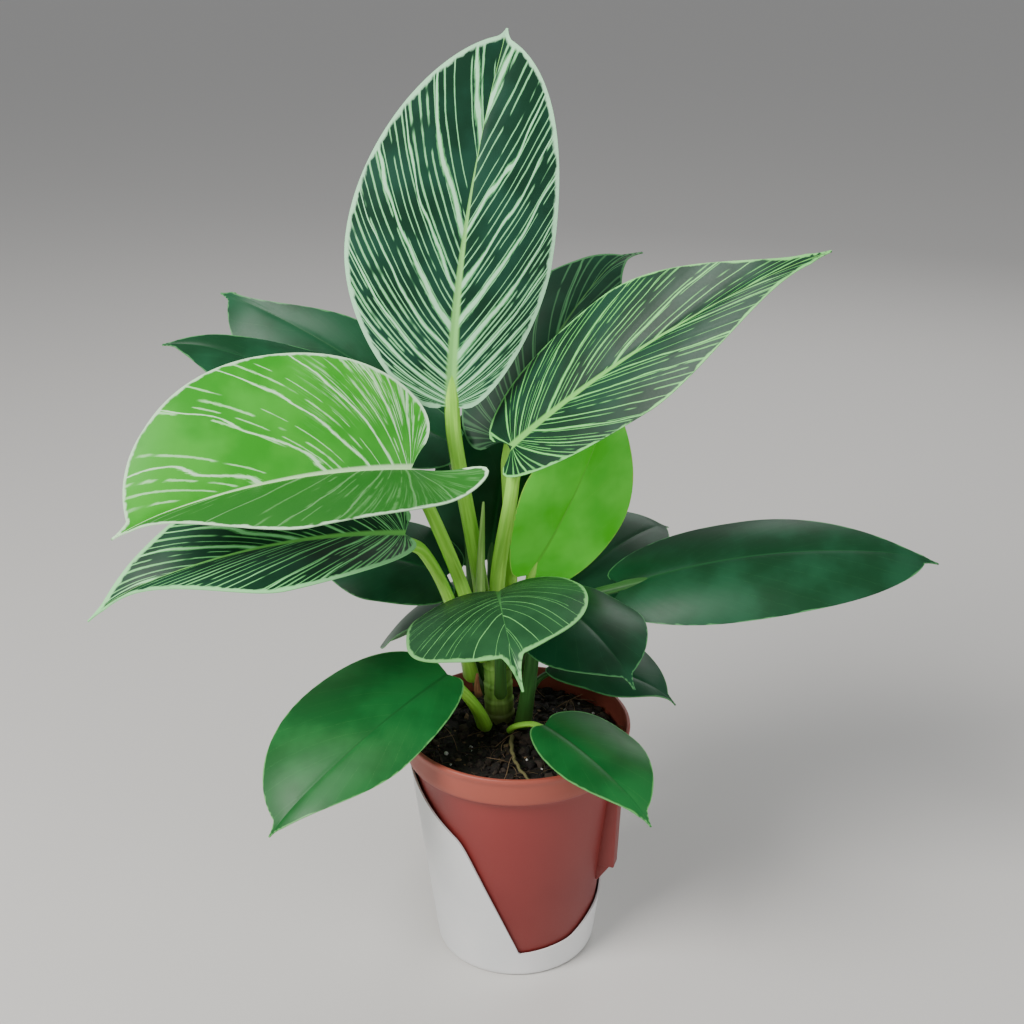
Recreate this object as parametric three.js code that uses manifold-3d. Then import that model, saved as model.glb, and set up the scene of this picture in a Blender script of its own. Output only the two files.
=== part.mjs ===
// Potted philodendron: a striped houseplant in a terracotta-coloured nursery pot,
// which stands in a thin white sleeve with a V-shaped cut-away.
// Millimetres, +Z up, the pot's base on z = 0, its axis on the Z axis.
import * as THREE from "three";
import { mergeVertices } from "three/addons/utils/BufferGeometryUtils.js";
import Module from "manifold-3d";

const wasm = await Module();
wasm.setup();

// ---- the pot -------------------------------------------------------------
const GAP = 0.35; // clearance wherever two pieces meet
const POT_HEIGHT = 121;
const RIM_RADIUS = 55; // an 11 cm nursery pot
const BASE_RADIUS = 37.7;
const POT_WALL = 1.3;
const BAND_FOOT = 106.5; // lower edge of the rim band
const BAND_FOOT_RADIUS = 53.4;
const BAND_LEDGE = 0.4; // how far the band's underside rises on its way out
const BAND_FACE = 1.6; // where the band's face starts, above the band's foot
const BAND_INNER_STEP = 0.6; // how far under the band's foot the wall widens inside
const SHOULDER_RADIUS = 50.1; // wall just below the band
// the rolled lip: its depth and width, how far it stands out and its small rounding
const LIP = { depth: 2.4, width: 2, swell: 0.7, round: 0.5 };
const POT_FLOOR_Z = 1.5;
const POT_FLOOR = 2;
const POT_CHAMFER = 1; // at the outer edge of the pot's underside
const POT_SIDES = 64;
const HOLE_RADIUS = 3;
const HOLE_RING = 24;
const HOLE_COUNT = 6;
const HOLE_SIDES = 16;
const DRILL_LENGTH = 8;
// the label pocket: lean is how much less it reaches at its foot, taper how much
// narrower it is there, ledge the flat part of its underside, and a gusset of that
// height runs back into the wall
const LUG = {
  angle: -17, foot: 48, top: 92, width: 11, reach: 52.5,
  lean: 1.5, taper: 0.7, ledge: 2, gusset: 9,
};

// ---- the sleeve ----------------------------------------------------------
const SLEEVE_WALL = 1.1;
const SLEEVE_BASE_RADIUS = 39.2;
const SLEEVE_TOP_RADIUS = 51.9;
const SLEEVE_TOP = 104;
const SLEEVE_FOOT_ROUND = [[1.6, 0], [0.4, 0.5]]; // [in from the base radius, height]
const SLEEVE_INNER_ROUND = 0.7;
const SLEEVE_SKIRT = 2; // the wall that is cut away starts at this height
const SLEEVE_LEVELS = 6;
const SLEEVE_SIDES = 72;
// The corners of the sleeve's cut edge: [angle round the pot, height]. It falls
// from the left to a sharp notch at the front, then climbs slowly to the right.
const SLEEVE_EDGE = [
  [-180, 104],
  [-160, 98],
  [-122, 78],
  [-88, 14],
  [-50, 17],
  [-30, 24],
  [-8, 28],
  [62, 104],
  [180, 104],
];

// ---- soil and stem -------------------------------------------------------
const SOIL_TOP = 110.8;
const SOIL_SIDES = 48;
// the shoulder of the mix inside the rim band: [in from the band's wall, height]
const SOIL_SHOULDER = [
  [0.3, BAND_FOOT + 2.4],
  [0.1, SOIL_TOP - 0.8],
  [3, SOIL_TOP - 0.2],
];
const SOIL_RINGS = [40, 28, 14, 0]; // radii of the mix's upper side
const SOIL_WAVE = { height: 0.35, x: 0.31, y: 0.27, flat: 14 }; // flat: calm inner radius
const STEM_FOOT = [-8, 17, 112];
const STEM_TOP = [-10, 16, 164];
const STEM_RADII = [7.6, 6.3];
const STEM_SIDES = 14;
const STEM_STEPS = 6;

// ---- leaves --------------------------------------------------------------
const BLADE_THICKNESS = 0.8;
const BLADE_ROWS = 12;
const BLADE_COLUMNS = 6;
const TIP_HALF_WIDTH = 0.8;
const DRIP_FROM = 11 / 12; // the last row of the blade
const WIDEST_AT = 0.42; // share of the length where a blade is widest
const VEIN_SLANT = 1.6; // over 1, the rows of a blade lean towards its tip like veins
const VEIN_BOW = [0.75, 0.4]; // a vein's middle handle: share of the way out and along
const LOBE_STEPS = 40;
// The handles of a half's two outline curves. The lobe's: out as a share of the half
// width, back as a share of the lobe. The widest point's: back as a share of the lobe,
// and ahead as a share of the length left, plain and added by a full tip. The tip's:
// along as a share of the length, plain and added by a full tip.
const LOBE_HANDLE = [0.3, 1.6];
const WIDEST_BACK = 0.6;
const WIDEST_AHEAD = [0.26, 0.3];
const TIP_HANDLE = [0.86, 0.14];
const HOOK_FROM = 0.8; // share of the length where the tip starts to turn
const PERK_SCALE = 30; // mm
const PROBE = 0.05; // mm, half the step that a blade's normal is measured over
const STALK_FLATNESS = [0.85, 0.8]; // thickness over width, at the foot and at the top
const ROD_SIDES = 8;
const ROD_STEPS = 9;

// What every leaf has unless it says otherwise.
const USUAL = {
  arch: 7, sweep: 0, twist: 0, perk: 0, shoulder: 0.1, gap: 1.5,
  fold: [6, 6], curl: [-14, -14], full: [0.35, 0.35], hook: [-4, 0],
  drip: [2.4, 5],
};

// Each leaf: where its blade starts and ends, which way its upper face looks,
// its half widths (left, right of the midrib seen from above, tip away),
// the bulge of the midrib out of the blade's plane (arch) and in it (sweep),
// the lift of each half at the midrib (fold), its curl towards the margin,
// the twist along the length, the depth of the lobes at the stalk end, how far
// they perk up, how far up the shoulder sits, how full the tip end is, the half
// width and length of the drip tip, its turn (hook), the gap between stalk and
// blade, and the stalk: foot, first and last direction, radii.
const LEAVES = {
  crown: {
    base: [-29, 0, 279], tip: [-4, 15, 436], face: [0.05, -1, 0.15],
    half: [50, 39], arch: 4, sweep: -5, fold: [6, 10], curl: [-8, -12],
    twist: -6, lobe: [4, 5], shoulder: 0.22, full: [0.5, 0.7], hook: [2, 0],
    drip: [3, 4],
    foot: [-15.2, 18.5, 165.2], rise: [-3, -3, 40], reach: [-2, 0, 30],
    stalk: [3.7, 3.4],
  },
  upper_right: {
    base: [-2, -5, 262], tip: [125, -30, 355], face: [-0.35, -0.75, 0.55],
    half: [34, 28], arch: 8, sweep: -3, fold: [8, 14], curl: [-14, -10],
    twist: 8, lobe: [16, 16], full: [0.12, 0.1], gap: 4.8,
    drip: [2.4, 9],
    foot: [-8.5, 11.2, 165.2], rise: [-4, -3, 35], reach: [-2, 1, 22],
    stalk: [4.4, 3.4],
  },
  upper_back: {
    base: [-5, 28, 253], tip: [56, 80, 336], face: [-0.35, -0.75, 0.55],
    half: [36, 31], arch: 6, sweep: -4, fold: [10, 10],
    lobe: [14, 14], full: [0.35, 0.3], hook: [-9, 3], gap: 2.4,
    drip: [2.4, 9],
    foot: [-4, 20.5, 165.2], rise: [3, 0, 30], reach: [-1, 0, 25],
    stalk: [3.6, 3],
  },
  bright_left: {
    base: [-45, -28, 260], tip: [-164, -70, 247], face: [0.05, -0.62, 0.78],
    half: [40, 56], arch: 10, sweep: 2, fold: [36, 30], curl: [-8, -14],
    lobe: [38, 16], perk: 0.5, full: [0.1, 0.6], hook: [-4, 0],
    drip: [3, 8],
    gap: 2.2,
    foot: [-15.5, 7, 150], rise: [-6, -6, 40], reach: [-6, -4, 18],
    stalk: [4.4, 3.6],
  },
  striped_left: {
    base: [-49, -22, 227], tip: [-181, -62, 209], face: [0, -0.42, 0.9],
    half: [34, 36], arch: 13, sweep: 0, fold: [22, 16], curl: [-8, -12],
    lobe: [5, 10], full: [0, 0.3], hook: [-7, 0],
    drip: [2.5, 8],
    foot: [-21.3, 13, 136], rise: [-6, -5, 36], reach: [-14, -8, 16],
    stalk: [4.2, 3.3],
  },
  dark_upper_left: {
    base: [-38, 45, 257], tip: [-143, 75, 313], face: [-0.3, -0.75, 0.6],
    half: [42, 18], arch: 8, sweep: 4, fold: [10, 10],
    lobe: [12, 12], full: [0.5, 0], hook: [-5, 0], gap: 3,
    drip: [2.4, 6],
    foot: [-13, 27, 150], rise: [-3, 2, 40], reach: [-10, 3, 20], stalk: [3, 2.5],
  },
  dark_left: {
    base: [-32, 24, 255], tip: [-163, 40, 300], face: [-0.15, -0.4, 0.9],
    half: [34, 20], arch: 7, sweep: 0, fold: [10, 10],
    lobe: [12, 12], hook: [-6, 0], gap: 2.2,
    drip: [2.4, 7],
    foot: [-17.8, 22.6, 152], rise: [-7, 4, 26], reach: [-12, 1, 18], stalk: [3, 2.5],
  },
  lime_right: {
    base: [6, 22, 187], tip: [45, 38, 275], face: [0.3, -0.9, 0.1],
    half: [29, 30], arch: 3, sweep: 3, fold: [20, 10], curl: [-6, -10],
    lobe: [8, 8], hook: [-3, 0], gap: 2.6,
    shoulder: 0.25,
    foot: [0, 20, 150], rise: [1, 0, 14], reach: [2, 0, 12], stalk: [2.8, 2.3],
  },
  dark_right: {
    base: [50, 12, 186], tip: [198, 10, 201], face: [-0.1, -0.45, 0.9],
    half: [28, 33], arch: 12, sweep: -2, fold: [4, 4], curl: [-16, -18],
    lobe: [12, 12], full: [0.15, 0.6],
    drip: [2.2, 7],
    gap: 2.1,
    foot: [0, 12, 140], rise: [8, -1, 22], reach: [18, 0, 3], stalk: [3, 2.5],
  },
  front_right: {
    base: [13, -8, 190], tip: [51, -60, 172], face: [0.2, -0.4, 0.9],
    half: [32, 31], curl: [-18, -18],
    lobe: [14, 6], full: [0.5, 0.5], hook: [-2, 0],
    drip: [3, 6],
    foot: [3, 7, 112.5], rise: [4, -1, 26], reach: [4, -5, 14], stalk: [4, 3.2],
  },
  front_heart: {
    base: [-8, -30, 203], tip: [0, -105, 203], face: [-0.25, -0.1, 0.95],
    half: [37, 43], fold: [4, 8], curl: [-12, -12],
    lobe: [24, 24], full: [0.7, 0.8], hook: [-9, 0], gap: 2.8,
    drip: [4.5, 10],
    foot: [-7.5, 5.5, 130], rise: [0, -8, 30], reach: [0, -16, 12], stalk: [2.8, 2.3],
  },
  low_left: {
    base: [-32, -14, 153], tip: [-109, -75, 107], face: [-0.1, -0.5, 0.85],
    half: [23, 42],
    lobe: [6, 3], full: [0.35, 0.65], hook: [-3, 0],
    drip: [3, 6],
    gap: 1.7,
    foot: [-15, 6, 112.5], rise: [-3, -4, 16], reach: [-5, -5, 10], stalk: [3.8, 3],
  },
  low_right: {
    base: [13, -26, 133], tip: [59, -75, 113], face: [0.2, -0.4, 0.9],
    half: [28, 17], arch: 5,
    lobe: [5, 5], full: [0.5, 0.3], hook: [-3, 0],
    drip: [3, 6],
    foot: [-3, 1, 113.5], rise: [0, -6, 8], reach: [3, -8, 4], stalk: [1.8, 1.5],
  },
  small_right: {
    base: [19, 16, 143], tip: [77, 0, 131], face: [0.1, -0.2, 1],
    half: [30, 17], arch: 6,
    lobe: [6, 6], hook: [-3, 0],
    full: [0.5, 0.35],
    gap: 1.7,
    foot: [2.5, 15, 114], rise: [4, 0, 12], reach: [6, -1, 4], stalk: [2, 1.7],
  },
  mid_left: {
    base: [-33, 20, 188], tip: [-105, 36, 192], face: [0, -0.4, 0.9],
    half: [26, 30],
    lobe: [10, 10], hook: [-3, 0],
    gap: 2.3,
    foot: [-17.5, 23, 124], rise: [-9, 1, 20], reach: [-6, 0, 12], stalk: [2.6, 2.1],
  },
  drooping_left: {
    base: [-34, 28, 172], tip: [-57, 80, 126], face: [-0.2, -0.3, 0.9],
    half: [30, 28],
    lobe: [8, 8], hook: [-2, 0],
    full: [0.6, 0.6],
    drip: [3, 4],
    foot: [-14, 27, 118], rise: [-4, 1, 22], reach: [-8, 2, 4], stalk: [2.3, 1.9],
  },
  mid_right: {
    base: [27, 30, 180], tip: [79, 78, 191], face: [0.1, -0.4, 0.9],
    half: [28, 28],
    lobe: [8, 8], hook: [-3, 0],
    gap: 1.8,
    foot: [0, 24, 130], rise: [4, 1, 22], reach: [9, 1, 8], stalk: [2.5, 2],
  },
  back_centre: {
    base: [-13, 44, 186], tip: [2, 85, 276], face: [0, -0.85, 0.5],
    half: [34, 34], arch: 6,
    lobe: [10, 10],
    gap: 1.8,
    foot: [-7, 29, 142], rise: [0, 4, 14], reach: [0, 5, 12], stalk: [2.6, 2.1],
  },
};
for (const name of Object.keys(LEAVES)) LEAVES[name] = { ...USUAL, ...LEAVES[name] };

// ---- sheaths and roots ---------------------------------------------------
// each: a path of points, and the half width and half thickness at its start and end
const STRIPS = {
  green_sheath: {
    path: [[-16.5, 9.5, 166], [-17.5, 7, 190], [-16, 5, 212], [-15, 4, 232]],
    start: [2.6, 1.2], end: [0.5, 0.4], slot: "sheath",
  },
  dry_sheath: {
    path: [[-18, 4.5, 131], [-19, 2.5, 136], [-19, 1.5, 140], [-18.5, 1.5, 145]],
    start: [1.8, 0.6], end: [0.7, 0.4], slot: "dry_sheath",
  },
  long_root: {
    path: [[-2, -4, 113.6], [-3, -20, 115], [-1, -33, 113], [10, -47, 113]],
    start: [1.1, 1.1], end: [0.6, 0.6], slot: "root",
  },
  short_root: {
    path: [[8, -2, 113.6], [15, 3, 113.5], [22, 8, 114], [28, 14, 112.8]],
    start: [0.8, 0.8], end: [0.5, 0.5], slot: "root",
  },
};

const STRIP_WIDE = new THREE.Vector3(1, 0.2, 0); // direction of a strip's width

// ---- colours -------------------------------------------------------------
const COLOURS = {
  terracotta: "#b4564a",
  white_sleeve: "#eceeec",
  soil: "#1d1713",
  stalk: "#8cc152",
  striped_blade: "#2f5d46",
  bright_blade: "#4fae38",
  dark_blade: "#1f5a3c",
  lime_blade: "#6bd32c",
  young_blade: "#2f8a4a",
  sheath: "#a9cf6c",
  dry_sheath: "#a5643f",
  root: "#6a6038",
};
const ROUGHNESS = {
  terracotta: 0.55, white_sleeve: 0.4, soil: 0.95, stalk: 0.4,
  striped_blade: 0.4, bright_blade: 0.4, dark_blade: 0.38, lime_blade: 0.35,
  young_blade: 0.4, sheath: 0.5, dry_sheath: 0.8, root: 0.8,
};
const BLADE_SLOT = {
  crown: "striped_blade",
  upper_right: "striped_blade",
  upper_back: "striped_blade",
  bright_left: "bright_blade",
  striped_left: "striped_blade",
  lime_right: "lime_blade",
  front_heart: "striped_blade",
  low_left: "young_blade",
  low_right: "young_blade",
};

// ---- helpers -------------------------------------------------------------
const V = (p) => new THREE.Vector3(p[0], p[1], p[2]);
const mix = (a, b, f) => a + (b - a) * f;
const rad = THREE.MathUtils.degToRad;

// What three.js makes, as a manifold-3d solid, and back.
function solid(geometry) {
  const plain = new THREE.BufferGeometry();
  const flat = geometry.index ? geometry.toNonIndexed() : geometry;
  plain.setAttribute("position", flat.getAttribute("position"));
  const merged = mergeVertices(plain, 1e-4);
  return new wasm.Manifold(
    new wasm.Mesh({
      numProp: 3,
      vertProperties: merged.attributes.position.array,
      triVerts: new Uint32Array(merged.index.array),
    }),
  );
}

function geometryOf(body) {
  const mesh = body.getMesh();
  const g = new THREE.BufferGeometry();
  g.setAttribute("position", new THREE.BufferAttribute(mesh.vertProperties, 3));
  g.setIndex(new THREE.BufferAttribute(mesh.triVerts, 1));
  g.computeVertexNormals();
  return g;
}

// A profile of [radius, height] pairs turned about the Z axis.
function turned(profile, segments) {
  const points = profile.map(([r, z]) => new THREE.Vector2(r, z));
  const g = new THREE.LatheGeometry(points, segments);
  g.rotateX(Math.PI / 2);
  return g;
}

function linear(table, x) {
  for (let i = 1; i < table.length; i += 1) {
    const [x0, y0] = table[i - 1];
    const [x1, y1] = table[i];
    if (x <= x1) return mix(y0, y1, (x - x0) / (x1 - x0));
  }
  return table[table.length - 1][1];
}

// ---- a leaf blade --------------------------------------------------------
// Where on a half's lower curve the lobe lies furthest back, seen from the stalk.
// The blade starts there, so that its veins fan out without crossing the notch.
function lobeStart(curve) {
  let start = 0;
  let lowest = 0;
  for (let i = 1; i < LOBE_STEPS; i += 1) {
    const p = curve.getPoint(i / LOBE_STEPS);
    if (p.y / p.x < lowest) {
      lowest = p.y / p.x;
      start = i / LOBE_STEPS;
    }
  }
  return start;
}

// The flat outline of one half: two cubic curves, stalk end to widest point
// to tip. The result is [out from the midrib, along the midrib].
function margin(leaf, right, length, t) {
  const half = leaf.half[right];
  const lobe = leaf.lobe[right];
  const full = leaf.full[right];
  const neck = leaf.stalk[1] + 1;
  const [dripHalf, dripLength] = leaf.drip;
  const shoulders = length - dripLength;
  const widest = WIDEST_AT * length;
  const lower = new THREE.CubicBezierCurve(
    new THREE.Vector2(neck, 0),
    new THREE.Vector2(LOBE_HANDLE[0] * half, -LOBE_HANDLE[1] * lobe),
    new THREE.Vector2(half, leaf.shoulder * length - WIDEST_BACK * lobe),
    new THREE.Vector2(half, widest),
  );
  const ahead = WIDEST_AHEAD[0] + WIDEST_AHEAD[1] * full;
  const upper = new THREE.CubicBezierCurve(
    new THREE.Vector2(half, widest),
    new THREE.Vector2(half, widest + ahead * (length - widest)),
    new THREE.Vector2(full * half, (TIP_HANDLE[0] + TIP_HANDLE[1] * full) * shoulders),
    new THREE.Vector2(dripHalf, shoulders),
  );
  if (t <= 0.5) return lower.getPoint(mix(lobeStart(lower), 1, 2 * t)).toArray();
  if (t <= DRIP_FROM) return upper.getPoint((t - 0.5) / (DRIP_FROM - 0.5)).toArray();
  const last = (t - DRIP_FROM) / (1 - DRIP_FROM);
  const width = mix(dripHalf, TIP_HALF_WIDTH, last);
  return [width, mix(shoulders, length, last)];
}

// The flat point at side s (-1 left margin, 0 midrib, 1 right margin) on vein t.
function flatPoint(leaf, length, s, t) {
  const right = s > 0 ? 1 : 0;
  const [nx, ny] = margin(leaf, right, length, t);
  const my = length * t ** VEIN_SLANT;
  const q = Math.abs(s);
  const x = 2 * q * (1 - q) * VEIN_BOW[0] * nx + q * q * nx;
  const cy = my + VEIN_BOW[1] * (ny - my);
  const y = (1 - q) ** 2 * my + 2 * q * (1 - q) * cy + q * q * ny;
  return [right ? x : -x, y];
}

// The frame of a leaf: origin, length, along, up and side directions.
function frameOf(leaf) {
  const base = V(leaf.base);
  const along = V(leaf.tip).sub(base);
  const length = along.length();
  along.normalize();
  const up = V(leaf.face);
  up.addScaledVector(along, -up.dot(along)).normalize();
  const side = along.clone().cross(up);
  return { base, length, along, up, side };
}

// The flat point (x, y) carried onto the bent blade.
function bladePoint(leaf, frame, x, y) {
  const u = THREE.MathUtils.clamp(y / frame.length, 0, 1);
  const bulge = 4 * u * (1 - u);
  const late = Math.max(0, (u - HOOK_FROM) / (1 - HOOK_FROM));
  const slope = (4 * (1 - 2 * u)) / frame.length;
  const lateSlope = (2 * late) / (1 - HOOK_FROM) / frame.length;
  const at = frame.base
    .clone()
    .addScaledVector(frame.along, u * frame.length)
    .addScaledVector(frame.up, leaf.arch * bulge + leaf.hook[0] * late * late)
    .addScaledVector(frame.side, leaf.sweep * bulge + leaf.hook[1] * late * late);
  const tangent = frame.along
    .clone()
    .addScaledVector(frame.up, leaf.arch * slope + leaf.hook[0] * lateSlope)
    .addScaledVector(frame.side, leaf.sweep * slope + leaf.hook[1] * lateSlope)
    .normalize();
  const behind = Math.min(0, y);
  at.addScaledVector(tangent, y - u * frame.length);
  at.addScaledVector(frame.up, (leaf.perk * behind * behind) / PERK_SCALE);
  const normal = frame.up.clone();
  normal.addScaledVector(tangent, -normal.dot(tangent)).normalize();
  const side = tangent.clone().cross(normal);
  const turn = rad(leaf.twist) * (u - 0.5) * 2;
  const n = normal.clone().multiplyScalar(Math.cos(turn)).addScaledVector(side, Math.sin(turn));
  const r = tangent.clone().cross(n);
  const right = x > 0 ? 1 : 0;
  const fold = rad(leaf.fold[right]);
  const bend = (rad(leaf.curl[right]) * 2) / leaf.half[right];
  const c = Math.abs(x);
  const out = (Math.sin(fold + bend * c) - Math.sin(fold)) / bend;
  const lift = (Math.cos(fold) - Math.cos(fold + bend * c)) / bend;
  at.addScaledVector(r, x > 0 ? out : -out);
  at.addScaledVector(n, lift);
  return at;
}

// A subdivided box, each of whose vertices is moved onto the blade.
function blade(leaf) {
  const frame = frameOf(leaf);
  const g = new THREE.BoxGeometry(2, 1, 1, BLADE_COLUMNS, BLADE_ROWS, 1);
  const p = g.attributes.position;
  for (let i = 0; i < p.count; i += 1) {
    const [x, y] = flatPoint(leaf, frame.length, p.getX(i), p.getY(i) + 0.5);
    const near = (dx, dy) => bladePoint(leaf, frame, x + dx, y + dy);
    const across = near(PROBE, 0).sub(near(-PROBE, 0));
    const ahead = near(0, PROBE).sub(near(0, -PROBE));
    const normal = across.cross(ahead).normalize();
    const at = near(0, 0);
    at.addScaledVector(normal, p.getZ(i) * BLADE_THICKNESS);
    p.setXYZ(i, at.x, at.y, at.z);
  }
  g.computeVertexNormals();
  return g;
}

// ---- stalks, sheaths and roots -------------------------------------------
// A closed cylinder bent along a curve; start and end are half width and
// half thickness, and wide is the direction the half width lies in.
function rod(curve, start, end, wide, sides, steps) {
  const g = new THREE.CylinderGeometry(1, 1, 1, sides, steps);
  const p = g.attributes.position;
  for (let i = 0; i < p.count; i += 1) {
    const v = p.getY(i) + 0.5;
    const at = curve.getPoint(v);
    const t = curve.getTangent(v);
    const a = wide.clone().addScaledVector(t, -wide.dot(t)).normalize();
    const b = a.clone().cross(t);
    at.addScaledVector(a, p.getX(i) * mix(start[0], end[0], v));
    at.addScaledVector(b, p.getZ(i) * mix(start[1], end[1], v));
    p.setXYZ(i, at.x, at.y, at.z);
  }
  g.computeVertexNormals();
  return g;
}

// The stalk ends just short of the blade it carries.
function stalk(leaf) {
  const frame = frameOf(leaf);
  const reach = V(leaf.reach);
  const end = V(leaf.base).addScaledVector(reach.clone().normalize(), -leaf.gap);
  const foot = V(leaf.foot);
  const curve = new THREE.CubicBezierCurve3(
    foot,
    foot.clone().add(V(leaf.rise)),
    end.clone().sub(reach),
    end,
  );
  const [r0, r1] = leaf.stalk;
  const [flat0, flat1] = STALK_FLATNESS;
  return rod(curve, [r0, r0 * flat0], [r1, r1 * flat1], frame.side, ROD_SIDES, ROD_STEPS);
}

// ---- the pot, the sleeve and the soil ------------------------------------
function labelPocket() {
  const heel = LUG.foot - LUG.gusset;
  const wall = mix(BASE_RADIUS, SHOULDER_RADIUS, heel / BAND_FOOT) - POT_WALL / 2;
  const halfway = (LUG.foot + LUG.top) / 2;
  const side = new THREE.Shape();
  side.moveTo(0, heel);
  side.lineTo(wall, heel);
  side.lineTo(LUG.reach - LUG.lean - LUG.ledge, LUG.foot);
  side.lineTo(LUG.reach - LUG.lean, LUG.foot);
  side.lineTo(LUG.reach, LUG.top);
  side.lineTo(0, LUG.top);
  side.closePath();
  const g = new THREE.ExtrudeGeometry(side, { depth: LUG.width, bevelEnabled: false });
  g.translate(0, 0, -LUG.width / 2);
  g.rotateX(Math.PI / 2);
  const p = g.attributes.position;
  for (let i = 0; i < p.count; i += 1) {
    if (p.getZ(i) < halfway) p.setY(i, p.getY(i) * LUG.taper);
  }
  g.rotateZ(rad(LUG.angle));
  return g;
}

function nurseryPot() {
  const w = POT_WALL;
  const profile = [
    [0, POT_FLOOR_Z],
    [BASE_RADIUS - POT_CHAMFER, POT_FLOOR_Z],
    [BASE_RADIUS, POT_FLOOR_Z + POT_CHAMFER],
    [SHOULDER_RADIUS, BAND_FOOT],
    [BAND_FOOT_RADIUS, BAND_FOOT + BAND_LEDGE],
    [BAND_FOOT_RADIUS, BAND_FOOT + BAND_FACE],
    [RIM_RADIUS - LIP.swell, POT_HEIGHT - LIP.depth],
    [RIM_RADIUS, POT_HEIGHT - LIP.depth + LIP.round],
    [RIM_RADIUS, POT_HEIGHT - LIP.round],
    [RIM_RADIUS - LIP.round, POT_HEIGHT],
    [RIM_RADIUS - LIP.width + LIP.round, POT_HEIGHT],
    [RIM_RADIUS - LIP.width, POT_HEIGHT - LIP.round],
    [BAND_FOOT_RADIUS - w, BAND_FOOT + BAND_FACE],
    [SHOULDER_RADIUS - w, BAND_FOOT - BAND_INNER_STEP],
    [BASE_RADIUS - w, POT_FLOOR_Z + POT_FLOOR],
    [0, POT_FLOOR_Z + POT_FLOOR],
  ];
  let body = solid(turned(profile, POT_SIDES));
  // the pocket is cut off halfway through the pot's wall
  const core = [
    [0, 0],
    [BASE_RADIUS - w / 2, POT_FLOOR_Z + POT_CHAMFER],
    [SHOULDER_RADIUS - w / 2, BAND_FOOT],
    [0, BAND_FOOT],
  ];
  body = body.add(solid(labelPocket()).subtract(solid(turned(core, POT_SIDES))));
  for (let i = 0; i < HOLE_COUNT; i += 1) {
    const hole = new THREE.CylinderGeometry(HOLE_RADIUS, HOLE_RADIUS, DRILL_LENGTH, HOLE_SIDES);
    hole.rotateX(Math.PI / 2);
    hole.translate(HOLE_RING, 0, POT_FLOOR_Z + POT_FLOOR / 2);
    hole.rotateZ((i * 2 * Math.PI) / HOLE_COUNT);
    body = body.subtract(solid(hole));
  }
  return geometryOf(body);
}

function sleeve() {
  const w = SLEEVE_WALL;
  const skirt = SLEEVE_SKIRT;
  const outer = (z) => mix(SLEEVE_BASE_RADIUS, SLEEVE_TOP_RADIUS, z / SLEEVE_TOP);
  const profile = [[0, 0]];
  for (const [inwards, z] of SLEEVE_FOOT_ROUND) profile.push([SLEEVE_BASE_RADIUS - inwards, z]);
  for (let i = 0; i <= SLEEVE_LEVELS; i += 1) profile.push([outer(skirt), skirt + i]);
  for (let i = SLEEVE_LEVELS; i >= 0; i -= 1) profile.push([outer(skirt) - w, skirt + i]);
  profile.push([SLEEVE_BASE_RADIUS - w - SLEEVE_INNER_ROUND, w]);
  profile.push([0, w]);
  const g = turned(profile, SLEEVE_SIDES);
  const p = g.attributes.position;
  for (let i = 0; i < p.count; i += 1) {
    const x = p.getX(i);
    const y = p.getY(i);
    const z = p.getZ(i);
    if (z < (w + skirt) / 2) continue;
    // share of the wall's height, carried up to the cut edge at this angle
    const angle = THREE.MathUtils.radToDeg(Math.atan2(y, x));
    const share = (z - skirt) / SLEEVE_LEVELS;
    const height = mix(skirt, linear(SLEEVE_EDGE, angle), share);
    const inside = Math.hypot(x, y) < outer(skirt) - w / 2;
    const r = outer(height) - (inside ? w : 0);
    p.setXYZ(i, r * Math.cos(rad(angle)), r * Math.sin(rad(angle)), height);
  }
  g.computeVertexNormals();
  return g;
}

function soil() {
  const w = POT_WALL + GAP;
  const floor = POT_FLOOR_Z + POT_FLOOR + GAP;
  const profile = [
    [0, floor],
    [BASE_RADIUS - w, floor],
    [SHOULDER_RADIUS - w, BAND_FOOT],
  ];
  for (const [inwards, z] of SOIL_SHOULDER) profile.push([BAND_FOOT_RADIUS - w - inwards, z]);
  for (const r of SOIL_RINGS) profile.push([r, SOIL_TOP]);
  const g = turned(profile, SOIL_SIDES);
  const p = g.attributes.position;
  for (let i = 0; i < p.count; i += 1) {
    const x = p.getX(i);
    const y = p.getY(i);
    if (Math.hypot(x, y) > SOIL_RINGS[0] + GAP || p.getZ(i) < BAND_FOOT) continue;
    const calm = Math.min(1, Math.hypot(x, y) / SOIL_WAVE.flat);
    const wave = Math.sin(x * SOIL_WAVE.x + 1) * Math.cos(y * SOIL_WAVE.y);
    p.setZ(i, SOIL_TOP + SOIL_WAVE.height * wave * calm);
  }
  g.computeVertexNormals();
  return g;
}

// ---- assembly ------------------------------------------------------------
const plant = new THREE.Group();
plant.name = "potted_philodendron";

function add(name, geometry, slot) {
  const material = new THREE.MeshStandardMaterial({
    color: COLOURS[slot],
    roughness: ROUGHNESS[slot],
  });
  material.name = slot;
  const mesh = new THREE.Mesh(geometry, material);
  mesh.name = name;
  plant.add(mesh);
}

add("nursery_pot", nurseryPot(), "terracotta");
add("white_sleeve", sleeve(), "white_sleeve");
add("potting_soil", soil(), "soil");

const stemPath = new THREE.LineCurve3(V(STEM_FOOT), V(STEM_TOP));
const [s0, s1] = STEM_RADII;
add("stem", rod(stemPath, [s0, s0], [s1, s1], V([1, 0, 0]), STEM_SIDES, STEM_STEPS), "stalk");

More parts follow.
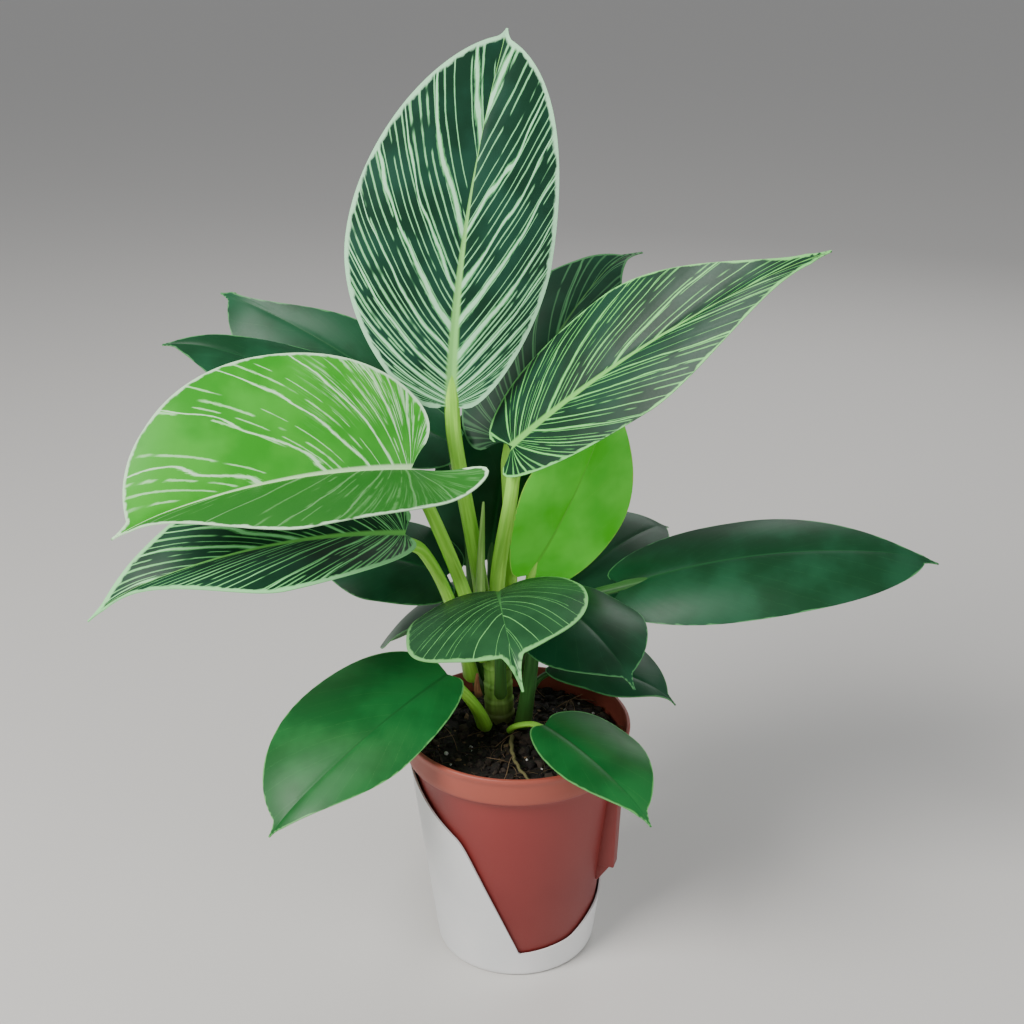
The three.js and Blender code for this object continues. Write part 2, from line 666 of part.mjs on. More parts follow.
for (const [name, leaf] of Object.entries(LEAVES)) {
  add(name + "_blade", blade(leaf), BLADE_SLOT[name] ?? "dark_blade");
  add(name + "_stalk", stalk(leaf), "stalk");
}
for (const [name, strip] of Object.entries(STRIPS)) {
  const curve = new THREE.CubicBezierCurve3(...strip.path.map(V));
  const body = rod(curve, strip.start, strip.end, STRIP_WIDE, ROD_SIDES, ROD_STEPS);
  add(name, body, strip.slot);
}

export default plant;
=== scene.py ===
# %% [markdown]
# # A potted philodendron
# This lesson dresses a plain CAD plant: a striped houseplant in a terracotta-coloured
# nursery pot that stands in a thin white sleeve. The CAD model is loaded first and
# kept as a fixed frame. Every piece we make is in metres, in that same frame.

# %% Load the frame
import math
import random

import bpy
import numpy as np
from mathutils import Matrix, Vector, noise


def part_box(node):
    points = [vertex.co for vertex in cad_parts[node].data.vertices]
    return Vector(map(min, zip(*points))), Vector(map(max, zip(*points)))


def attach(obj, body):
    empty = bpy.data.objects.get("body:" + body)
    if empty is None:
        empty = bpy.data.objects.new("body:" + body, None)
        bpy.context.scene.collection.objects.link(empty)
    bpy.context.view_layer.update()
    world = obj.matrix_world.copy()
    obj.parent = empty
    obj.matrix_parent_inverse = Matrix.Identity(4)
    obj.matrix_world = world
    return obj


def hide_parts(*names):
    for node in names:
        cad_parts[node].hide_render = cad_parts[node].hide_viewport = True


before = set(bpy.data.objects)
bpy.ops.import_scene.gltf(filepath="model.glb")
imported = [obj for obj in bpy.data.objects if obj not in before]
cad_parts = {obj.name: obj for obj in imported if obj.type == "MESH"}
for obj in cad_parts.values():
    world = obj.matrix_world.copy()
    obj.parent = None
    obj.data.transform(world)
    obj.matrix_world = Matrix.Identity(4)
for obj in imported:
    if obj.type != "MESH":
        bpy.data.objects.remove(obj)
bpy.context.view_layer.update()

MM = 0.001
bpy.ops.object.select_all(action="DESELECT")

# %% [markdown]
# ## Camera
# A plant like this is looked at from a little above its crown, so we see the upper
# faces of the leaves and into the pot. A camera looks down its own -Z axis: turned 90
# degrees about X it looks level, so a smaller turn makes it look down.

# %% Camera
LOOKS_DOWN = 22  # degrees
camera_data = bpy.data.cameras.new("plant_camera")
camera_data.lens = 50
camera = bpy.data.objects.new("plant_camera", camera_data)
camera.location = (-0.002, -0.5987, 0.4705)
camera.rotation_euler = (math.radians(90 - LOOKS_DOWN), 0, 0)
bpy.context.scene.collection.objects.link(camera)
bpy.context.scene.camera = camera
print("camera at", tuple(camera.location))

# %% [markdown]
# ## Floor and light
# A wide pale floor catches a soft shadow. A large area light up on the left is the
# window, a weaker one on the right opens the shadows, and a low one behind picks out
# the leaf edges. Big lights give the long soft highlights that a waxy leaf shows.

# %% Floor
def new_material(name, roughness=0.5):
    """A material, its node tree and its main shader."""
    material = bpy.data.materials.new(name)
    material.use_nodes = True
    shader = material.node_tree.nodes["Principled BSDF"]
    shader.inputs["Roughness"].default_value = roughness
    return material, material.node_tree, shader


bpy.ops.mesh.primitive_plane_add(size=60, location=(0, 0, -0.0002))
floor = bpy.context.object
floor.name = "studio_floor"
floor_material, _, floor_shader = new_material("pale_floor", 0.7)
floor_shader.inputs["Base Color"].default_value = (0.72, 0.7, 0.67, 1)
floor.data.materials.append(floor_material)
print("floor ready")


# %% Lights
MIDDLE_OF_PLANT = Vector((0, 0, 0.25))


def area_light(name, place, size, power, colour):
    """A round light that is aimed at the middle of the plant."""
    data = bpy.data.lights.new(name, "AREA")
    data.shape = "DISK"
    data.size = size
    data.energy = power
    data.color = colour
    light = bpy.data.objects.new(name, data)
    light.location = place
    aim = MIDDLE_OF_PLANT - Vector(place)
    light.rotation_euler = aim.to_track_quat("-Z", "Y").to_euler()
    bpy.context.scene.collection.objects.link(light)


area_light("window", (-0.9, -0.75, 1.25), 0.9, 31, (1, 0.985, 0.96))
area_light("right_fill", (1.1, -0.9, 0.7), 1.0, 5, (0.95, 0.98, 1))
area_light("back_rim", (0.5, 1.1, 1.0), 0.8, 4, (1, 1, 1))
world = bpy.data.worlds.new("studio_air")
world.use_nodes = True
air = world.node_tree.nodes["Background"]
air.inputs["Color"].default_value = (0.9, 0.92, 0.95, 1)
air.inputs["Strength"].default_value = 0.36
bpy.context.scene.world = world

# %% [markdown]
# ## Helpers for node trees
# A material works out its colour at every point, with nodes that are wired together.
# A Wire here is the output of one node. Adding or multiplying wires adds the Math
# node that does it, so a recipe reads as a formula. Each helper adds one other node
# next to the wires it is given, and returns the output we need.

# %% Wires
class Wire:
    """The output of a node; sums with it add Math nodes to its tree."""

    def __init__(self, socket):
        self.socket = socket

    def __add__(self, other):
        return calc("ADD", self, other)

    def __sub__(self, other):
        return calc("SUBTRACT", self, other)

    def __rsub__(self, other):
        return calc("SUBTRACT", other, self)

    def __mul__(self, other):
        return calc("MULTIPLY", self, other)

    def __truediv__(self, other):
        return calc("DIVIDE", self, other)

    def __abs__(self):
        return calc("ABSOLUTE", self)


def node_beside(kind, *values):
    """A new node in the tree that the first wire among the values belongs to."""
    wire = next(value for value in values if isinstance(value, Wire))
    return wire.socket.id_data.nodes.new(kind)


def plug(socket, value):
    """Joins a wire to a socket, or sets a plain value on it."""
    if isinstance(value, Wire):
        socket.id_data.links.new(value.socket, socket)
    else:
        socket.default_value = value


def fill(node, **values):
    """Fills sockets by name (_ stands for a space); returns the node's outputs by name."""
    for name, value in values.items():
        plug(node.inputs[name.replace("_", " ")], value)
    return {output.name: Wire(output) for output in node.outputs}


def calc(operation, *values):
    node = node_beside("ShaderNodeMath", *values)
    node.operation = operation
    for socket, value in zip(node.inputs, values):
        plug(socket, value)
    return Wire(node.outputs[0])


print("wires ready")

# %% Nodes for places, spots and colours
def vector_of(x, y, z):
    return fill(node_beside("ShaderNodeCombineXYZ", x, y, z), X=x, Y=y, Z=z)["Vector"]


def parts_of(vector):
    return list(fill(node_beside("ShaderNodeSeparateXYZ", vector), Vector=vector).values())


def grain(vector, scale=1.0, detail=2.0, roughness=0.5):
    """Soft random spots, from 0 to 1."""
    node = node_beside("ShaderNodeTexNoise", vector)
    return fill(node, Vector=vector, Scale=scale, Detail=detail, Roughness=roughness)["Fac"]


def step(value, low, high, to_low=0.0, to_high=1.0):
    """A smooth step: 0 under low, 1 over high."""
    node = node_beside("ShaderNodeMapRange", value)
    node.interpolation_type = "SMOOTHSTEP"
    ends = dict(From_Min=low, From_Max=high, To_Min=to_low, To_Max=to_high)
    return fill(node, Value=value, **ends)["Result"]


def fade(value, low, high):
    """A smooth step down: 1 under low, 0 over high."""
    return step(value, low, high, 1.0, 0.0)


def blend(share, first, second):
    """A mix of two colours: the first one at share 0, the second one at share 1."""
    node = node_beside("ShaderNodeMix", share, first, second)
    node.data_type = "RGBA"
    plug(node.inputs["Factor"], share)
    sockets = [socket for socket in node.inputs if socket.type == "RGBA"]
    for socket, value in zip(sockets, (first, second)):
        plug(socket, value if isinstance(value, Wire) else (*value, 1))
    return Wire(next(socket for socket in node.outputs if socket.type == "RGBA"))


def bump(height, distance, strength):
    node = node_beside("ShaderNodeBump", height)
    return fill(node, Height=height, Distance=distance, Strength=strength)["Normal"]


def attribute(tree, name, kind="Vector"):
    """What a blade or a stalk stores at each of its points under this name."""
    node = tree.nodes.new("ShaderNodeAttribute")
    node.attribute_name = name
    return Wire(node.outputs[kind])


def object_place(tree):
    return Wire(tree.nodes.new("ShaderNodeTexCoord").outputs["Object"])


print("nodes ready")

# %% Groups of nodes
def new_group(name, vectors, numbers, results):
    """A group that takes vectors and numbers and gives numbers, with its two ends."""
    tree = bpy.data.node_groups.new(name, "ShaderNodeTree")
    sockets = [(label, "INPUT", "NodeSocketVector") for label in vectors]
    sockets += [(label, "INPUT", "NodeSocketFloat") for label in numbers]
    sockets += [(label, "OUTPUT", "NodeSocketFloat") for label in results]
    for label, way, kind in sockets:
        tree.interface.new_socket(name=label, in_out=way, socket_type=kind)
    given = fill(tree.nodes.new("NodeGroupInput"))
    print("group:", name)
    return tree, given, tree.nodes.new("NodeGroupOutput")


def use_group(tree, group, **values):
    node = tree.nodes.new("ShaderNodeGroup")
    node.node_tree = group
    return fill(node, **values)


# %% [markdown]
# ## The stripes of a leaf
# On the real leaf the pale stripes follow the side veins: they leave the midrib at a
# sharp angle, bend towards the tip and grow thinner on the way. Each blade below
# stores, at every point, which vein it lies on (in mm along the margin), how far out
# along it, and as what share of the way. The group cuts the margin into equal lanes.
# Each lane draws its own random numbers, which place one stripe in it and set how wide
# it is. Wide lanes give the bold stripes and narrow ones the fine dashes between them.
# The small numbers are shares of a lane's width, or how fast a pattern changes per mm.

# %% Stripe in a lane
SOFT_EDGE = 0.002  # share of a lane


def chance(number, seed):
    """A random number from 0 to 1 that stays the same all over one lane."""
    node = node_beside("ShaderNodeTexWhiteNoise", number)
    node.noise_dimensions = "1D"
    return fill(node, W=number + seed)["Value"]


def stripe_in_lane(across, period, sway, width, seed):
    """1 on the stripe of each lane and 0 beside it, with the lane's own number."""
    lane = across / period + sway * 0.5
    number = calc("FLOOR", lane)
    centre = chance(number, seed) * 0.36 + 0.32
    off = abs(calc("FRACT", lane) - centre)
    half = width * (chance(number, seed + 5.3) * 0.75 + 0.45)
    inner = half * 0.62
    mask = fade(off, inner, half * 1.15 + SOFT_EDGE)
    core = fade(off, half * 0.4, inner + SOFT_EDGE)
    return mask, core, number


print("stripe helper ready")

# %% Group: stripes
OTHER_HALF = 61.7  # mm, so that the two halves of a leaf don't mirror each other
stripes_group, given, result = new_group(
    "leaf_stripes", ["Vein", "Place"],
    ["Period", "Width", "Fine Period", "Fine Width", "Fine Share", "Fleck", "Root"],
    ["Mask", "Core"])
across, out_along, reach = parts_of(given["Vein"])
_, to_rib, along = parts_of(given["Place"])
across = across + calc("GREATER_THAN", to_rib, 0.0) * OTHER_HALF
sway = grain(vector_of(across * 0.06, out_along * 0.035, 0.0), 1, 1) - 0.5
speck = grain(vector_of(across * 1.3, out_along * 0.28, 3.1), 1, 2, 0.6) - 0.5
ragged = speck * given["Fleck"] + 1.0
wide_foot = fade(along, 0.0, 0.5) * given["Root"] + 1.0
growth = ragged * wide_foot
bold = given["Width"] * (1.0 - reach * 0.68) * growth
fine = given["Fine Width"] * (reach * reach * 0.5 + 1.0) * growth
bold_mask, bold_core, _ = stripe_in_lane(across, given["Period"], sway, bold, 1.0)
fine_mask, fine_core, number = stripe_in_lane(across, given["Fine Period"], sway, fine, 23.0)
present = calc("LESS_THAN", chance(number, 41.0), given["Fine Share"])
dashes = grain(vector_of(number * 7.3, out_along * 0.085, 1.7), 1, 1)
broken = given["Fleck"] * 0.1 + 0.2
shown = present * step(dashes, broken, broken + 0.1)
fill(result, Mask=calc("MAXIMUM", bold_mask, fine_mask * shown),
     Core=calc("MAXIMUM", bold_core, fine_core * shown * 0.45))

# %% [markdown]
# ## Margin, midrib and surface relief
# Every blade has a thin pale margin and a pale midrib that tapers away towards the
# tip. The skin between the side veins swells slightly, which breaks up a highlight.
# These three effects are shared by all the leaf materials, so they are groups too.

# %% Group: margin and midrib
THINNEST_RIB = 0.12  # mm
lines_group, given, result = new_group(
    "leaf_lines", ["Place"], ["Margin", "Rib", "Rib End"], ["Margin", "Rib"])
to_edge, to_rib, along = parts_of(given["Place"])
edge_width = given["Margin"] * (grain(object_place(lines_group), 260, 2) * 1.1 + 0.45)
left_over = calc("MAXIMUM", 1.0 - along / given["Rib End"], 0.0)
rib_width = calc("POWER", left_over, 1.2) * given["Rib"] + THINNEST_RIB
fill(result, Margin=fade(to_edge, edge_width * 0.55, edge_width),
     Rib=fade(abs(to_rib), rib_width * 0.5, rib_width * 1.15))

# %% Group: relief
relief_group, given, result = new_group("leaf_relief", ["Vein"], [], ["Height", "Shine"])
across, out_along, _ = parts_of(given["Vein"])
ribs = grain(vector_of(across * 0.16, out_along * 0.008, 0.0), 1, 1)
skin = grain(object_place(relief_group), 1100, 2, 0.6)
swell = grain(object_place(relief_group), 45, 2)
fill(result, Height=skin * 0.05 + ribs * 0.35 + swell * 0.7, Shine=(skin + swell) * 0.12 - 0.12)

# %% [markdown]
# ## Leaf materials
# One recipe makes them all: a green that drifts between two tones, pale stripes over
# it, the midrib and the margin on top, and a paler, duller underside. Only the values
# differ, and they live in one table. Colours are linear red, green, blue, widths and
# periods are in mm or shares of a lane. The bright leaf has one more step: painted
# shade turns the half nearer the camera a darker, duller green with hardly a stripe,
# and its other half is frosted white along its veins close to the stalk.

# %% Leaf finishes
# stripes of no width leave only hairlines, which pass for faint side veins
PLAIN_FINISH = dict(
    period=11, width=0.0, fine_period=6.0, fine_width=0.0, fine_share=0.3, fleck=0.8,
    root=0.0, margin=0.8, rib_width=0.8, rib_end=0.9, rough=0.40, relief=0.22)
FINISHES = {
    "bold_striped_leaf": dict(
        dark=(0.004, 0.040, 0.017), deep=(0.012, 0.072, 0.040), pale=(0.52, 1.0, 0.60),
        fringe=(0.16, 0.56, 0.20), rib=(0.30, 0.76, 0.20), period=19, width=0.12,
        fine_period=4.8, fine_width=0.115, fine_share=0.95, fleck=1.25, root=1.4,
        margin=2.4, rib_width=3.3, rib_end=0.72, relief=0.5),
    "fine_striped_leaf": dict(
        dark=(0.004, 0.036, 0.014), deep=(0.010, 0.062, 0.030), pale=(0.24, 0.76, 0.20),
        fringe=(0.08, 0.38, 0.08), rib=(0.22, 0.66, 0.13), period=19, width=0.085,
        fine_period=4.4, fine_width=0.11, fine_share=0.62, fleck=1.5, root=0.5,
        margin=1.3, rib_width=2.0, rib_end=0.75, rough=0.42, relief=0.5),
    "dim_striped_leaf": dict(
        dark=(0.006, 0.046, 0.020), deep=(0.013, 0.078, 0.036), pale=(0.10, 0.32, 0.12),
        fringe=(0.045, 0.15, 0.065), rib=(0.10, 0.28, 0.08), period=17, width=0.07,
        fine_period=5.0, fine_width=0.16, fine_share=0.7, fleck=0.7, root=0.4,
        margin=1.2, rib_width=1.4, rough=0.46, relief=0.35),
    "pale_edged_leaf": dict(
        dark=(0.004, 0.038, 0.015), deep=(0.011, 0.068, 0.032), pale=(0.34, 0.88, 0.36),
        fringe=(0.11, 0.44, 0.12), rib=(0.22, 0.66, 0.14), period=20, width=0.095,
        fine_period=4.6, fine_width=0.12, fine_share=0.85, fleck=1.3, root=0.7,
        margin=2.5, rib_width=2.2, rib_end=0.8, rough=0.42, relief=0.45),
    "heart_leaf": dict(
        dark=(0.011, 0.066, 0.020), deep=(0.022, 0.104, 0.034), pale=(0.20, 0.56, 0.17),
        fringe=(0.050, 0.22, 0.055), rib=(0.06, 0.24, 0.06), period=8.5, width=0.055,
        fine_period=3.4, fine_width=0.07, fine_share=0.35, fleck=2.2, root=0.3,
        margin=1.9, rib_width=1.4, rib_end=0.5, rough=0.46, relief=0.35),
    # the bright leaf's last colour is painted shade for the half nearer the camera
    "bright_leaf": dict(
        dark=(0.028, 0.350, 0.012), deep=(0.065, 0.470, 0.030), pale=(0.66, 1.0, 0.62),
        fringe=(0.26, 0.78, 0.20), rib=(0.64, 0.97, 0.50), period=27, width=0.055,
        fine_period=5.0, fine_width=0.11, fine_share=0.55, fleck=2.3, root=0.8,
        margin=1.7, rib_width=2.0, rough=0.42, relief=0.4, near=(0.024, 0.150, 0.022)),
    # the lime leaf is lime green, and its greens are raised further by painted light, as if lit
    # through from behind
    "lime_and_backlit_leaf": dict(
        dark=(0.080, 0.700, 0.018), deep=(0.150, 0.860, 0.050), pale=(0.36, 0.78, 0.08),
        fringe=(0.17, 0.60, 0.03), rib=(0.14, 0.66, 0.04), period=12, fine_share=0.1,
        fleck=0.5, margin=0.6, rib_width=0.9, relief=0.5),
    "dark_leaf": dict(
        dark=(0.004, 0.056, 0.017), deep=(0.011, 0.096, 0.038), pale=(0.09, 0.32, 0.11),
        fringe=(0.012, 0.100, 0.036), rib=(0.012, 0.098, 0.030)),
    "young_leaf": dict(
        dark=(0.008, 0.112, 0.020), deep=(0.016, 0.165, 0.034), pale=(0.13, 0.44, 0.12),
        fringe=(0.016, 0.165, 0.034), rib=(0.012, 0.120, 0.024), rib_end=0.8),
}
UNDERSIDE = (0.12, 0.30, 0.10)
print("leaf finishes:", len(FINISHES))


# %% Leaf recipe
def near_and_frost(vein, place):
    """Two masks for the bright leaf: painted shade over one half, and its frosted veins."""
    across, out_along, reach = parts_of(vein)
    _, to_rib, along = parts_of(place)
    # painted shade over the half nearer the camera, on the minus side of the midrib
    near = fade(to_rib, -2.5, 1.0) * 0.85
    streaks = grain(vector_of(across * 0.7, out_along * 0.05, 5.3), 1, 3, 0.6)
    off_rib = step(reach, 0.25, 0.55)
    return near, step(streaks, 0.50, 0.66) * off_rib * fade(along, 0.15, 0.36)


def leaf_material(name, f):
    material, tree, shader = new_material(name)
    vein, place = attribute(tree, "vein"), attribute(tree, "place")
    under = attribute(tree, "under", "Fac")
    stripes = use_group(
        tree, stripes_group, Vein=vein, Place=place, Period=f["period"], Width=f["width"],
        Fine_Period=f["fine_period"], Fine_Width=f["fine_width"],
        Fine_Share=f["fine_share"], Fleck=f["fleck"], Root=f["root"])
    lines = use_group(
        tree, lines_group, Place=place, Margin=f["margin"], Rib=f["rib_width"],
        Rib_End=f["rib_end"])
    relief = use_group(tree, relief_group, Vein=vein)
    drift = step(grain(object_place(tree), 38, 3), 0.35, 0.65)
    colour = blend(drift, f["dark"], f["deep"])
    stripe, core = stripes["Mask"], stripes["Core"]
    # painted shade on the bright leaf: one half turns a darker green and loses most stripes
    if "near" in f:
        near, frost = near_and_frost(vein, place)
        colour = blend(near, colour, f["near"])
        stripe = calc("MAXIMUM", stripe, frost) * (1.0 - near)
        core = calc("MAXIMUM", core, frost * 0.5) * (1.0 - near)
    colour = blend(stripe, colour, f["fringe"])
    colour = blend(core, colour, f["pale"])
    colour = blend(lines["Rib"], colour, f["rib"])
    colour = blend(lines["Margin"], colour, f["pale"])
    colour = blend(under, colour, blend(0.45, colour, UNDERSIDE))
    fill(shader, Base_Color=colour, Roughness=relief["Shine"] + f["rough"] + under * 0.15,
         Normal=bump(relief["Height"], 0.0006, f["relief"]), Specular_IOR_Level=0.28)
    return material


leaf_materials = {
    name: leaf_material(name, {**PLAIN_FINISH, **values}) for name, values in FINISHES.items()}
print("leaf materials:", sorted(leaf_materials))

# %% [markdown]
# ## How a leaf is described
# A blade is easiest to think of flat: a heart-shaped outline on each side of the
# midrib. It is then bent: the midrib arches and sweeps, the halves fold up and curl
# over, and the tip turns down. These are the same measures the CAD blades have, so
# each finished blade lies on its CAD node. All of them are in millimetres and degrees.
# A pair is one value for each half of the blade, but hook is up and sideways, drip is
# half width and length, and stalk is half width at the foot and at the top.

# %% Leaf measures
USUAL = dict(
    arch=7, sweep=0, twist=0, perk=0, shoulder=0.1, gap=1.5,
    fold=(6, 6), curl=(-14, -14), full=(0.35, 0.35), hook=(-4, 0), drip=(2.4, 5))
LEAVES = {
    "crown": dict(
        base=(-29, 0, 279), tip=(-4, 15, 436), face=(0.05, -1, 0.15),
        half=(50, 39), arch=4, sweep=-5, fold=(6, 10), curl=(-8, -12), twist=-6, lobe=(4, 5),
        shoulder=0.22, full=(0.5, 0.7), hook=(2, 0), drip=(3, 4),
        foot=(-15.2, 18.5, 165.2), rise=(-3, -3, 40), reach=(-2, 0, 30), stalk=(3.7, 3.4)),
    "upper_right": dict(
        base=(-2, -5, 262), tip=(125, -30, 355), face=(-0.35, -0.75, 0.55),
        half=(34, 28), arch=8, sweep=-3, fold=(8, 14), curl=(-14, -10), twist=8, lobe=(16, 16),
        full=(0.12, 0.1), gap=4.8, drip=(2.4, 9),
        foot=(-8.5, 11.2, 165.2), rise=(-4, -3, 35), reach=(-2, 1, 22), stalk=(4.4, 3.4)),
    "upper_back": dict(
        base=(-5, 28, 253), tip=(56, 80, 336), face=(-0.35, -0.75, 0.55),
        half=(36, 31), arch=6, sweep=-4, fold=(10, 10), lobe=(14, 14), full=(0.35, 0.3),
        hook=(-9, 3), gap=2.4, drip=(2.4, 9),
        foot=(-4, 20.5, 165.2), rise=(3, 0, 30), reach=(-1, 0, 25), stalk=(3.6, 3)),
    "bright_left": dict(
        base=(-45, -28, 260), tip=(-164, -70, 247), face=(0.05, -0.62, 0.78),
        half=(40, 56), arch=10, sweep=2, fold=(36, 30), curl=(-8, -14), lobe=(38, 16), perk=0.5,
        full=(0.1, 0.6), hook=(-4, 0), drip=(3, 8), gap=2.2,
        foot=(-15.5, 7, 150), rise=(-6, -6, 40), reach=(-6, -4, 18), stalk=(4.4, 3.6)),
    "striped_left": dict(
        base=(-49, -22, 227), tip=(-181, -62, 209), face=(0, -0.42, 0.9),
        half=(34, 36), arch=13, sweep=0, fold=(22, 16), curl=(-8, -12), lobe=(5, 10),
        full=(0, 0.3), hook=(-7, 0), drip=(2.5, 8),
        foot=(-21.3, 13, 136), rise=(-6, -5, 36), reach=(-14, -8, 16), stalk=(4.2, 3.3)),
    "dark_upper_left": dict(
        base=(-38, 45, 257), tip=(-143, 75, 313), face=(-0.3, -0.75, 0.6),
        half=(42, 18), arch=8, sweep=4, fold=(10, 10), lobe=(12, 12), full=(0.5, 0), hook=(-5, 0),
        gap=3, drip=(2.4, 6),
        foot=(-13, 27, 150), rise=(-3, 2, 40), reach=(-10, 3, 20), stalk=(3, 2.5)),
    "dark_left": dict(
        base=(-32, 24, 255), tip=(-163, 40, 300), face=(-0.15, -0.4, 0.9),
        half=(34, 20), arch=7, sweep=0, fold=(10, 10), lobe=(12, 12), hook=(-6, 0), gap=2.2,
        drip=(2.4, 7),
        foot=(-17.8, 22.6, 152), rise=(-7, 4, 26), reach=(-12, 1, 18), stalk=(3, 2.5)),
    "lime_right": dict(
        base=(6, 22, 187), tip=(45, 38, 275), face=(0.3, -0.9, 0.1),
        half=(29, 30), arch=3, sweep=3, fold=(20, 10), curl=(-6, -10), lobe=(8, 8), hook=(-3, 0),
        gap=2.6, shoulder=0.25,
        foot=(0, 20, 150), rise=(1, 0, 14), reach=(2, 0, 12), stalk=(2.8, 2.3)),
    "dark_right": dict(
        base=(50, 12, 186), tip=(198, 10, 201), face=(-0.1, -0.45, 0.9),
        half=(28, 33), arch=12, sweep=-2, fold=(4, 4), curl=(-16, -18), lobe=(12, 12),
        full=(0.15, 0.6), drip=(2.2, 7), gap=2.1,
        foot=(0, 12, 140), rise=(8, -1, 22), reach=(18, 0, 3), stalk=(3, 2.5)),
    "front_right": dict(
        base=(13, -8, 190), tip=(51, -60, 172), face=(0.2, -0.4, 0.9),
        half=(32, 31), curl=(-18, -18), lobe=(14, 6), full=(0.5, 0.5), hook=(-2, 0), drip=(3, 6),
        foot=(3, 7, 112.5), rise=(4, -1, 26), reach=(4, -5, 14), stalk=(4, 3.2)),
    "front_heart": dict(
        base=(-8, -30, 203), tip=(0, -105, 203), face=(-0.25, -0.1, 0.95),
        half=(37, 43), fold=(4, 8), curl=(-12, -12), lobe=(24, 24), full=(0.7, 0.8), hook=(-9, 0),
        gap=2.8, drip=(4.5, 10),
        foot=(-7.5, 5.5, 130), rise=(0, -8, 30), reach=(0, -16, 12), stalk=(2.8, 2.3)),
    "low_left": dict(
        base=(-32, -14, 153), tip=(-109, -75, 107), face=(-0.1, -0.5, 0.85),
        half=(23, 42), lobe=(6, 3), full=(0.35, 0.65), hook=(-3, 0), drip=(3, 6), gap=1.7,
        foot=(-15, 6, 112.5), rise=(-3, -4, 16), reach=(-5, -5, 10), stalk=(3.8, 3)),
    "low_right": dict(
        base=(13, -26, 133), tip=(59, -75, 113), face=(0.2, -0.4, 0.9),
        half=(28, 17), arch=5, lobe=(5, 5), full=(0.5, 0.3), hook=(-3, 0), drip=(3, 6),
        foot=(-3, 1, 113.5), rise=(0, -6, 8), reach=(3, -8, 4), stalk=(1.8, 1.5)),
    "small_right": dict(
        base=(19, 16, 143), tip=(77, 0, 131), face=(0.1, -0.2, 1),
        half=(30, 17), arch=6, lobe=(6, 6), hook=(-3, 0), full=(0.5, 0.35), gap=1.7,
        foot=(2.5, 15, 114), rise=(4, 0, 12), reach=(6, -1, 4), stalk=(2, 1.7)),
    "mid_left": dict(
        base=(-33, 20, 188), tip=(-105, 36, 192), face=(0, -0.4, 0.9),
        half=(26, 30), lobe=(10, 10), hook=(-3, 0), gap=2.3,
        foot=(-17.5, 23, 124), rise=(-9, 1, 20), reach=(-6, 0, 12), stalk=(2.6, 2.1)),
    "drooping_left": dict(
        base=(-34, 28, 172), tip=(-57, 80, 126), face=(-0.2, -0.3, 0.9),
        half=(30, 28), lobe=(8, 8), hook=(-2, 0), full=(0.6, 0.6), drip=(3, 4),
        foot=(-14, 27, 118), rise=(-4, 1, 22), reach=(-8, 2, 4), stalk=(2.3, 1.9)),
    "mid_right": dict(
        base=(27, 30, 180), tip=(79, 78, 191), face=(0.1, -0.4, 0.9),
        half=(28, 28), lobe=(8, 8), hook=(-3, 0), gap=1.8,
        foot=(0, 24, 130), rise=(4, 1, 22), reach=(9, 1, 8), stalk=(2.5, 2)),
    "back_centre": dict(
        base=(-13, 44, 186), tip=(2, 85, 276), face=(0, -0.85, 0.5),
        half=(34, 34), arch=6, lobe=(10, 10), gap=1.8,
        foot=(-7, 29, 142), rise=(0, 4, 14), reach=(0, 5, 12), stalk=(2.6, 2.1)),
}
FINISH_OF = {
    "crown": "bold_striped_leaf", "upper_right": "fine_striped_leaf",
    "upper_back": "dim_striped_leaf", "striped_left": "pale_edged_leaf",
    "front_heart": "heart_leaf", "bright_left": "bright_leaf", "lime_right": "lime_and_backlit_leaf",
    "low_left": "young_leaf", "low_right": "young_leaf",
}
SLOT_OF = {
    "bright_leaf": "bright_blade", "lime_and_backlit_leaf": "lime_blade",
    "young_leaf": "young_blade", "dark_leaf": "dark_blade",
}
for name, leaf in LEAVES.items():
    finish = FINISH_OF.get(name, "dark_leaf")
    slot = SLOT_OF.get(finish, "striped_blade")
    LEAVES[name] = {**USUAL, **leaf, "finish": finish, "slot": slot}

print("leaves:", len(LEAVES))

# %% [markdown]
# ## The outline of a flat leaf
# Each half of a leaf is three Bezier curves: round the lobe to the widest place, in
# towards the tip, and out along the drip tip. Curves need few measures and stay smooth
# however finely they are cut up. We work on whole arrays of points at once, which is
# much faster than a loop over points.

# %% Curves
def curve_points(knots, steps):
    """Points along a cubic Bezier curve of four knots."""
    t = np.linspace(0, 1, steps)[:, None]
    a, b, c, d = (np.array(k, float) for k in knots)
    return (1 - t) ** 3 * a + 3 * t * (1 - t) ** 2 * b + 3 * t * t * (1 - t) * c + t**3 * d


def run_along(path):
    """How far along a path each of its points is."""
    return np.concatenate([[0], np.cumsum(np.linalg.norm(np.diff(path, axis=0), axis=1))])


def unit(v):
    return v / np.linalg.norm(v, axis=-1, keepdims=True)


def bell(x, width):
    """1 at 0, falling away smoothly on both sides."""
    return np.exp(-((x / width) ** 2))


print("curve helpers ready")

# %% Outline
WIDEST_AT = 0.42  # share of the length where a blade is widest
LOBE_HANDLE = (0.3, 1.6)  # shares of the half width and of the lobe
WIDEST_BACK = 0.6  # share of the lobe
WIDEST_AHEAD = (0.26, 0.3)  # share of the way to the tip, and what a full leaf adds
TIP_HANDLE = (0.86, 0.14)  # share of the length, and what a full leaf adds
DRIP_HANDLE = 0.3  # share of the drip tip's length
DRIP_THIN = 0.6  # mm, half its width near the end
TIP_HALF_WIDTH = 0.4
STALK_MARGIN = 1  # mm on each side of the stalk, at the notch


